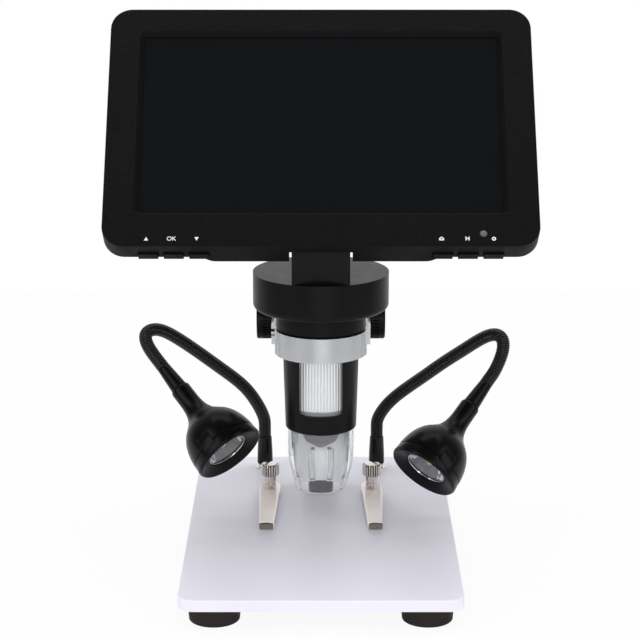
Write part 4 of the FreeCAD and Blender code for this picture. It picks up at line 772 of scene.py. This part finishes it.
def build_latch(name, lamp, matrix, body):
    """A small raised tab on the bell's side that reaches over the seam onto the trim ring."""
    turn = Matrix.Rotation(math.radians(lamp["latch"]), 4, "Z")
    corners = [(14.2, 28.6), (15.75, 30.9), (16.45, 33.6), (16.6, 37.4), (15.8, 38.2), (14.9, 37.6),
               (14.4, 31.4)]
    half = 3.4
    inset = 0.16
    count = len(corners)
    vertices = []
    for across in (-half, half):
        vertices += [(reach - inset, across, height) for reach, height in corners]
    faces = [list(range(count)), list(range(count, 2 * count))[::-1]]
    faces += [[i, count + i, count + (i + 1) % count, (i + 1) % count] for i in range(count)]
    tab = piece(f"lamp_{name}_latch", vertices, faces, body, "lamp_black", matrix=matrix @ turn)
    bevelled(tab, width=0.25)


# Focus wheel and shroud

def build_focus_wheel():
    """The wheel's fine ribs, with rounded ends, as seen in the barrel's window."""
    ribs = 60
    crest = 14.1
    ribs_from = 13.9
    depth = 0.45
    fullness = 0.6
    low = WHEEL_LOW
    top = WHEEL_LOW + 28.0
    rib_low = low + 2.6

    def ribbed(angle, radius, height, index):
        if radius < ribs_from:
            return radius, height
        wave = abs(math.sin(ribs * angle / 2)) ** fullness
        return radius - depth * (1 - wave), height

    profile = [(8.2, low + 8), (8.2, low + 20), (10.0, low + 20), (10.0, low + 15.5),
               (12.6, low + 15.5), (12.6, top), (13.4, top), (13.95, top - 0.3), (crest, top - 1.0),
               (crest, low + 15), (crest, rib_low + 1.6), (crest - 0.05, rib_low + 0.8),
               (13.85, rib_low + 0.2), (13.55, rib_low), (13.55, low), (12.6, low),
               (12.6, low + 12.5), (10.0, low + 12.5), (10.0, low + 8)]
    matrix = Matrix.Translation((0, HEAD_Y, 0))
    lathe("focus_wheel_ribs", profile, "focus_wheel", "wheel_silver", matrix=matrix, segments=ribs * 12,
          warp=ribbed, stands_for=["focus_wheel"], angle=60)


def build_shroud():
    """A clear moulded sleeve with broad flutes inside, drawn in at its foot."""
    foot = rounded([(9.7, 34.0, 0.3), (11.0, 34.0, 0.4), (11.6, 35.6, 0)], closed=False)[:-1]
    outer = through([(11.6, 35.6), (12.6, 39.0), (13.6, 43.0), (14.3, 46.5), (14.68, 50.0),
                     (14.75, 53.0), (14.75, 58.0), (14.75, 62.35)], steps=8)
    inner = through([(12.9, 62.35), (12.9, 57.5), (12.85, 53.0), (12.7, 50.0), (12.3, 46.5),
                     (11.7, 43.0), (10.8, 39.0), (9.9, 35.6), (9.5, 34.4)], steps=8)
    first_inner = len(foot) + len(outer)
    flutes = 10
    flute_low = 40.5
    flute_high = 56.5
    flute_end = 1.2
    flute_depth = 0.75
    flank_from = 0.45
    flank = 0.25

    def fluted(angle, radius, height, index):
        if index < first_inner:
            return radius, height
        wave = math.cos(flutes * angle)
        band = held((height - flute_low) / flute_end) * held((flute_high - height) / flute_end)
        step = held((wave - flank_from) / flank)
        return radius + flute_depth * step * band, height

    matrix = Matrix.Translation((0, HEAD_Y, 0))
    lathe("shroud_sleeve", foot + outer + inner, "head", "shroud_clear", matrix=matrix, segments=240,
          warp=fluted, stands_for=["clear_shroud"], angle=40)


# Marks on the screen's bezel

def build_labels():
    """Small generic marks over the keys: an up arrow, OK, a down arrow, a camera, M and power."""
    clear_of_bezel = 0.02
    matrix = screen_matrix() @ Matrix.Translation((0, 0, clear_of_bezel))
    rise = 3.2
    thick = 0.03
    camera_across = 50.6
    power_across = 72.6
    text_size = 2.7
    text_bold = 0.02
    up_arrow = [(-0.9, -0.8), (0.9, -0.8), (0, 0.9)]
    down_arrow = [(-0.9, 0.8), (0, -0.9), (0.9, 0.8)]
    camera = rounded([(-1.05, -0.75, 0.3), (1.05, -0.75, 0.3), (1.05, 0.35, 0.3), (0.55, 0.5, 0.2),
                      (0.3, 0.95, 0.2), (-0.3, 0.95, 0.2), (-0.55, 0.5, 0.2), (-1.05, 0.35, 0.3)])
    for name, across, outline in (("mark_up", -73.4, up_arrow), ("mark_down", -52.2, down_arrow),
                                  ("mark_camera", camera_across, camera)):
        vertices, faces = prism([(across + x, rise + y) for x, y in outline], 0, thick)
        piece(name, vertices, faces, "screen", "case_black", material="print_white", matrix=matrix)
    eye = rounded([(0.0, thick, 0), (0.36, thick, 0), (0.36, 0.05, 0), (0.0, 0.05, 0)], closed=False)
    lathe("mark_camera_eye", eye, "screen", "case_black", material="dark_print_seam_and_painted_shade", segments=24, closed=False,
          matrix=matrix @ Matrix.Translation((camera_across, rise, 0)))
    ring = rounded([(0.38, 0.0, 0), (0.9, 0.0, 0), (0.9, thick, 0), (0.38, thick, 0)])
    lathe("mark_power", ring, "screen", "case_black", material="print_white", segments=32,
          matrix=matrix @ Matrix.Translation((power_across, rise, 0)))
    for name, text, across in (("mark_ok", "OK", -62.8), ("mark_menu", "M", 61.5)):
        data = bpy.data.curves.new(name, "FONT")
        data.body = text
        data.size = text_size
        data.extrude = thick / 2
        data.align_x = "CENTER"
        data.align_y = "CENTER"
        data.offset = text_bold
        words = bpy.data.objects.new(name + "_curve", data)
        bpy.context.scene.collection.objects.link(words)
        graph = bpy.context.evaluated_depsgraph_get()
        mesh = bpy.data.meshes.new_from_object(words.evaluated_get(graph))
        bpy.data.objects.remove(words)
        place = matrix @ Matrix.Translation((across, rise, thick / 2))
        mesh.transform(Matrix.Scale(MM, 4) @ place)
        mesh.materials.clear()
        mesh.materials.append(MATERIALS["print_white"])
        label = bpy.data.objects.new(name, mesh)
        bpy.context.scene.collection.objects.link(label)
        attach(label, "screen")


# Clips

def build_clip_nut(name):
    """A knurled thumb nut with a domed top on a plain shank with one groove."""
    matrix = Matrix.Translation((CLIP[name], CLIP_Y, PLATE_TOP + 1.2))
    scallops = 20
    scallop_depth = 0.55
    fullness = 0.7
    fade_from = 3.2
    fade = 0.5
    shadow_from = 3.1
    shadow_level = -0.45
    row_height = 0.5
    shank = rounded([(2.1, 0.0, 0), (2.85, 0.0, 0.2), (2.85, 3.3, 0.08), (2.5, 3.4, 0.05), (2.5, 3.8, 0.05),
                     (2.85, 3.9, 0.08), (2.85, 7.0, 0), (2.1, 7.0, 0)])
    lathe(f"clip_nut_{name}_shank", shank, f"clip_nut_{name}", "clip_nickel", matrix=matrix, segments=64)

    def knurled(angle, radius, height, index):
        """Scallops the rim, and fades them out towards the axis."""
        share = held((radius - fade_from) / fade)
        wave = (0.5 - 0.5 * math.cos(scallops * angle)) ** fullness
        return radius - scallop_depth * share * wave, height

    def in_scallop(angle, radius, height):
        return radius > shadow_from and math.cos(scallops * angle) < shadow_level

    head = rounded([(2.1, 7.0, 0), (3.7, 7.0, 0.2), (4.32, 7.5, 0.15), (4.35, 12.2, 0.15), (3.9, 12.8, 0.3),
                    (0.0, 13.55, 0)], closed=False)
    dense = []
    for first, second in zip(head, head[1:]):
        rows = max(1, int(math.dist(first, second) / row_height))
        way = np.array(second) - first
        dense += [tuple(np.array(first) + way * step / rows) for step in range(rows)]
    dense.append(head[-1])

    lathe(f"clip_nut_{name}_head", dense, f"clip_nut_{name}", "clip_nickel", matrix=matrix,
          segments=scallops * 12, closed=False, warp=knurled, stands_for=[f"clip_nut_{name}"], angle=50,
          second="nickel_shadow", marked=in_scallop)


def build_clip_leaf(name):
    """A spring-steel leaf: a flat with a round end under its nut, a small step up, a long run down
    to the slide, and a turned-up tip with an arched edge. The leaf wears a lighter copy of the
    nickel, painted light, and its tip a darker copy, painted shade."""
    swing = -0.5 if name == "left" else 0.5
    painted_shade_from = -53.6
    thick = 0.8
    wide = 4.9
    tip_wide = 3.1
    round_middle = 7.0
    step_at = 4.4
    tip_at = 55.7
    tip_arch = 0.6
    columns = 9
    round_end = [(round_middle + wide * math.sin(math.radians(turn)), 0.0)
                 for turn in (86, 76, 64, 50, 34, 17)]
    line = round_end + rounded([(round_middle, 0, 0), (-step_at, 0, 0.9), (-6.2, 2, 0.9),
                                (-53.3, 0, 1.2), (-tip_at, 3.3, 0)], closed=False)
    vertices = []
    for index, (y, z) in enumerate(line):
        before = Vector(line[max(index - 1, 0)])
        after = Vector(line[min(index + 1, len(line) - 1)])
        run = (after - before).normalized()
        normal = Vector((-run.y, run.x)) if run.x > 0 else Vector((run.y, -run.x))
        half = float(np.interp(-y, (step_at, tip_at), (wide, tip_wide)))
        if y > round_middle:
            half = math.sqrt(wide ** 2 - (y - round_middle) ** 2)
        for layer in (0, 1):
            for column in range(columns):
                across = 2 * column / (columns - 1) - 1
                arch = tip_arch * (1 - across ** 2) if index == len(line) - 1 else 0.0
                vertices.append((half * across, y + normal.x * thick * layer + run.x * arch,
                                 z + normal.y * thick * layer + run.y * arch))
    row = 2 * columns
    faces = []
    for index in range(len(line) - 1):
        low = index * row
        low_next = low + row
        high = low + columns
        high_next = low_next + columns
        for column in range(columns - 1):
            faces.append([low + column, low_next + column, low_next + column + 1, low + column + 1])
            faces.append([high + column, high + column + 1, high_next + column + 1, high_next + column])
        faces.append([low, high, high_next, low_next])
        faces.append([high - 1, high_next - 1, high_next + columns - 1, high + columns - 1])
    last = (len(line) - 1) * row
    faces.append([*range(0, columns), *range(row - 1, columns - 1, -1)])
    faces.append([*range(last + columns - 1, last - 1, -1), *range(last + columns, last + row)])
    place = Matrix.Translation((CLIP[name], CLIP_Y, PLATE_TOP + 0.2))
    matrix = place @ Matrix.Rotation(math.radians(swing), 4, "Z")
    # The tip's faces wear painted shade.
    tip = [index for index, face in enumerate(faces)
           if min(vertices[vertex][1] for vertex in face) < painted_shade_from]
    leaf = piece(f"clip_leaf_{name}_spring", vertices, faces, f"clip_leaf_{name}", "clip_nickel",
                 matrix=matrix, material="leaf_nickel_painted_light", stands_for=[f"clip_leaf_{name}"],
                 second="leaf_tip_painted_shade", in_second=tip)
    bevelled(leaf, width=0.12, segments=2, angle=50)


build_camera()
build_light()
build_floor()
clothe_cad_nodes()
for lamp_name, lamp_row in LAMPS.items():
    build_gooseneck(lamp_name, lamp_row)
    build_plug(lamp_name, lamp_row)
    build_lamp(lamp_name, lamp_row)
build_focus_wheel()
build_shroud()
build_labels()
for clip_name in CLIP:
    build_clip_nut(clip_name)
    build_clip_leaf(clip_name)
